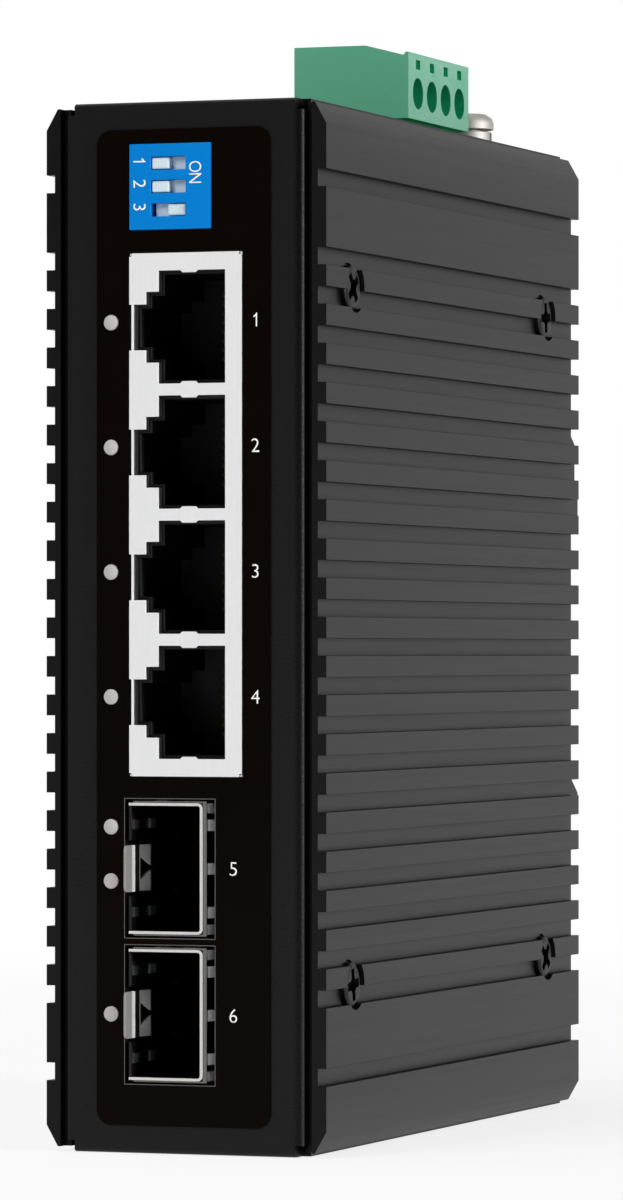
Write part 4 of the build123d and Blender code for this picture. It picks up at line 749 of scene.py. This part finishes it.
earthLow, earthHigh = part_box("earth_screw")
earthPlace = ((earthLow.x + earthHigh.x) / 2, (earthLow.y + earthHigh.y) / 2,
              earthHigh.z - (earthScrew["wall"] + earthScrew["dome"]) * mm)
rows = [(earthPlace, (0, 0, 1), earthScrew["turns"][0])]
addPiece("earthScrew", screwMesh(rows, earthScrew), "nickelPlate", stands=["earth_screw"],
         more=["nickelPlate"])
print("clip and earth screws set")

# Light pipes: one frosted rod with a shallow dome, set at each lamp
pipe = {"radius": 0.88, "length": 3.28, "dome": 0.12, "domeTop": 0.8, "sides": 36, "edgeBreak": 0.05}
pipeTree, pipeIn, pipeIds = newTree("lightPipes", {
    "Geometry": "Geometry", "Radius": "Float", "Length": "Float", "Dome": "Float", "Dome Top": "Float"})
rod = addNode(pipeTree, "GeometryNodeMeshCylinder", {"fill_type": "NGON"}, {"Vertices": pipe["sides"]},
              {"Radius": pipeIn["Radius"], "Depth": pipeIn["Length"]})
rodEnd = addNode(pipeTree, "GeometryNodeExtrudeMesh", {"mode": "FACES"}, {"Individual": False},
                 {"Mesh": rod, "Selection": rod.outputs["Top"], "Offset Scale": pipeIn["Dome"]})
rodDome = addNode(pipeTree, "GeometryNodeScaleElements",
                  links={"Geometry": rodEnd, "Selection": rodEnd.outputs["Top"],
                         "Scale": pipeIn["Dome Top"]})
endAtPoints(pipeTree, pipeIn["Geometry"], rodDome, "frostedPipe")
rows = []
for node in lightPipes:
    low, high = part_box(node)
    middle = (low + high) / 2
    rows.append(((middle.x, low.y + (pipe["dome"] + pipe["length"] / 2) * mm, middle.z), (0, -1, 0), 0))
pipes = grown(facingPoints(rows), pipeTree, pipeIds, {
    "Radius": pipe["radius"] * mm, "Length": pipe["length"] * mm, "Dome": pipe["dome"] * mm,
    "Dome Top": pipe["domeTop"]})
addPiece("lightPipes", edgesBroken(pipes, pipe["edgeBreak"]), "frostedPipe", stands=lightPipes)
print("light pipes set")

# Folded steel, mouldings and sheet with their edges broken: width in mm, segments, finish
edgeBreaks = {
    "front_shell": ("foldedShell", 0.1, 2, "shellCoatFoldShade"),
    "rear_cover": ("rearCover", 0.1, 2, "powderCoat"),
    "rail_clip": ("railClip", 0.12, 2, "blackAnodised"),
    "jack_shield": ("jackShield", 0.05, 2, "tinPlate"),
    "jack_housing": ("jackMoulding", 0.08, 2, "blackNylon"),
    "dip_housing": ("switchBlock", 0.1, 2, "bluePbt"),
    "terminal_header": ("plugSocket", 0.1, 2, "greenPolyamide"),
    "front_label": ("glossOverlay", 0.03, 1, "glossFilm"),
    "earth_flat_washer": ("flatWasher", 0.12, 2, "nickelPlate"),
    "earth_spring_washer": ("springWasher", 0.1, 2, "nickelPlate"),
}
for node, (name, width, segments, finish) in edgeBreaks.items():
    addPiece(name, softened(node, width, segments), finish, stands=[node])
leverBreak = {"width": 0.12, "segments": 3}
for i in (1, 2, 3):
    lever = softened(f"dip_lever_{i}", leverBreak["width"], leverBreak["segments"])
    addPiece(f"slideLever{i}", lever, "whitePbt", body=f"dip_lever_{i}", stands=[f"dip_lever_{i}"])

# The plug's outside is satin; whatever lies further in than its skin takes the deeper green of painted bounce
# light
plug = {"skin": 0.2, "edgeBreak": 0.06}
plugLow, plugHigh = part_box("terminal_plug")
plugMesh = softened("terminal_plug", plug["edgeBreak"])
giveSlots(plugMesh, 2)
for face in plugMesh.polygons:
    inside = [min(face.center[i] - plugLow[i], plugHigh[i] - face.center[i]) > plug["skin"] * mm
              for i in range(3)]
    face.material_index = 1 if all(inside) else 0
addPiece("powerPlug", plugMesh, "greenPolyamide", stands=["terminal_plug"], more=["greenEntryBounceLight"])
print("edges broken on", len(edgeBreaks) + len(levers) + 1, "pieces")

# Cage floors, their light and shade painted in: the tongue brushed bright, the lances a dim grey, the rest
# painted near black as if lost in the dark
cageFloor = {"tongueWidth": 5.3, "sheet": 0.3, "level": 0.02, "tongueRoot": 14.0,
             "edgeBreak": 0.04, "edgeSegments": 1}
for port in (5, 6):
    node = f"latch_plate_{port}"
    low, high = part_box(node)
    middle = (low.z + high.z) / 2
    floorSheet = softened(node, cageFloor["edgeBreak"], cageFloor["edgeSegments"])
    giveSlots(floorSheet, 3)
    for face in floorSheet.polygons:
        corners = [floorSheet.vertices[i].co for i in face.vertices]
        onTongue = all(abs(c.z - middle) < cageFloor["tongueWidth"] / 2 * mm
                       and c.y < (mouthY + cageFloor["tongueRoot"]) * mm for c in corners)
        raised = face.center.x > low.x + (cageFloor["sheet"] + cageFloor["level"]) * mm
        face.material_index = 1 if onTongue else 2 if raised else 0
    addPiece(f"cageFloor{port}", floorSheet, "cageFloor", stands=[node], more=["brushedTongue", "floorLance"])
print("cage floors finished")


# Flat print on the overlay and on the switch block: port numbers, switch numbers and ON. thinning is a
# share of the font size, spacing one of the letter height; half of the depth in mm lies above the face
ink = {"thinning": -0.008, "depth": 0.02, "spacing": 0.12}


# The face of one character; a 1 is drawn with a flag and no foot
def glyphMesh(character):
    if character == "1":
        outline = [(0.37, 0), (0.47, 0), (0.47, 1), (0.405, 1), (0.37, 0.92), (0.29, 0.84), (0.19, 0.77),
                   (0.19, 0.66), (0.28, 0.70), (0.37, 0.765)]
        mesh = bpy.data.meshes.new("glyph")
        mesh.from_pydata([(x, y, 0) for x, y in outline], [], [list(range(len(outline)))])
        return mesh
    curve = bpy.data.curves.new("glyph", "FONT")
    curve.body = character
    curve.offset = ink["thinning"]
    return settled(placed(curve))


# A word lying on a face that looks along -Y: height in mm, turned in its own plane
def printWord(word, height, centre, turn, printedY, narrow=1.0):
    whole = bmesh.new()
    reach = 0.0
    for character in word:
        mesh = glyphMesh(character)
        xs = [v.co.x for v in mesh.vertices]
        ys = [v.co.y for v in mesh.vertices]
        scale = 1 / (max(ys) - min(ys))
        mesh.transform(Matrix.Translation((-min(xs), -min(ys), 0)))
        mesh.transform(Matrix.Scale(scale, 4))
        mesh.transform(Matrix.Translation((reach, 0, 0)))
        reach += (max(xs) - min(xs)) * scale + ink["spacing"]
        whole.from_mesh(mesh)
        bpy.data.meshes.remove(mesh)
    bmesh.ops.translate(whole, verts=whole.verts, vec=(-(reach - ink["spacing"]) / 2, -0.5, 0))
    bmesh.ops.recalc_face_normals(whole, faces=whole.faces)
    inkDepth = ink["depth"] * mm
    place = (Matrix.Translation((centre[0], printedY - inkDepth / 2, centre[1]))
             @ Matrix.Rotation(math.radians(90), 4, "X") @ Matrix.Rotation(math.radians(turn), 4, "Z")
             @ Matrix.Scale(height * mm, 4) @ Matrix.Diagonal((narrow, 1, 1, 1)))
    bmesh.ops.transform(whole, matrix=place, verts=whole.verts)
    thick = bmesh.ops.extrude_face_region(whole, geom=whole.faces[:])
    raised = [v for v in thick["geom"] if isinstance(v, bmesh.types.BMVert)]
    bmesh.ops.translate(whole, verts=raised, vec=(0, inkDepth, 0))
    bmesh.ops.recalc_face_normals(whole, faces=whole.faces)
    return meshOf(whole, "word")


def joined(meshes):
    whole = bmesh.new()
    for mesh in meshes:
        whole.from_mesh(mesh)
        bpy.data.meshes.remove(mesh)
    return meshOf(whole, "joined")


portNumbers = {"height": 1.52, "jackX": 8.55, "cageX": 5.95, "rise": 0.05}
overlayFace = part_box("front_label")[0].y
portBoxes = [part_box(f"light_pipe_{i}") for i in range(1, 5)]
portBoxes += [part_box("module_cage_5"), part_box("module_cage_6")]
numberMeshes = []
for i, (low, high) in enumerate(portBoxes):
    x = portNumbers["jackX"] if i < 4 else portNumbers["cageX"]
    centre = (x * mm, (low.z + high.z) / 2 + portNumbers["rise"] * mm)
    numberMeshes.append(printWord(str(i + 1), portNumbers["height"], centre, 0, overlayFace))
addPiece("portNumbers", joined(numberMeshes), "whiteInk")

switchPrint = {"height": 1.45, "turn": -90, "numberInset": 1.25, "numberRise": 0.36,
               "onInset": 7.9, "onDrop": 3.3, "onWidth": 0.8}
blockLow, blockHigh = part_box("dip_housing")
printMeshes = []
numberX = blockLow.x + switchPrint["numberInset"] * mm
for i in range(3):
    low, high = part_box(f"dip_lever_{i + 1}")
    centre = (numberX, (low.z + high.z) / 2 + switchPrint["numberRise"] * mm)
    printMeshes.append(printWord(str(i + 1), switchPrint["height"], centre, switchPrint["turn"], blockLow.y))
onCentre = (blockLow.x + switchPrint["onInset"] * mm, blockHigh.z - switchPrint["onDrop"] * mm)
printMeshes.append(printWord("ON", switchPrint["height"], onCentre, switchPrint["turn"], blockLow.y,
                             switchPrint["onWidth"]))
addPiece("switchPrint", joined(printMeshes), "whiteInk")
print("print added")

# A painted highlight: a thin pale band on the overlay round each module cage, where its cut edge catches the
# light
cutEdge = {"width": 0.08, "left": 0.5, "right": 1.45, "side": 0.45, "proud": 0.015, "sunk": 0.01}
edgeMeshes = []
for port in (5, 6):
    low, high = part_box(f"module_cage_{port}")
    x = (low.x - cutEdge["left"] * mm, high.x + cutEdge["right"] * mm)
    z = (low.z - cutEdge["side"] * mm, high.z + cutEdge["side"] * mm)
    frameShape = bmesh.new()
    rings = []
    for grow in (0, cutEdge["width"] * mm):
        for y in (overlayFace - cutEdge["proud"] * mm, overlayFace + cutEdge["sunk"] * mm):
            corners = [(x[0] - grow, z[0] - grow), (x[1] + grow, z[0] - grow), (x[1] + grow, z[1] + grow),
                       (x[0] - grow, z[1] + grow)]
            rings.append([frameShape.verts.new((cx, y, cz)) for cx, cz in corners])
    for a, b in ((0, 1), (1, 3), (3, 2), (2, 0)):
        for i in range(4):
            j = (i + 1) % 4
            frameShape.faces.new((rings[a][i], rings[a][j], rings[b][j], rings[b][i]))
    bmesh.ops.recalc_face_normals(frameShape, faces=frameShape.faces)
    edgeMeshes.append(meshOf(frameShape, "cutEdge"))
addPiece("overlayCutEdges", joined(edgeMeshes), "filmEdgeHighlight")
print("cut edges added")
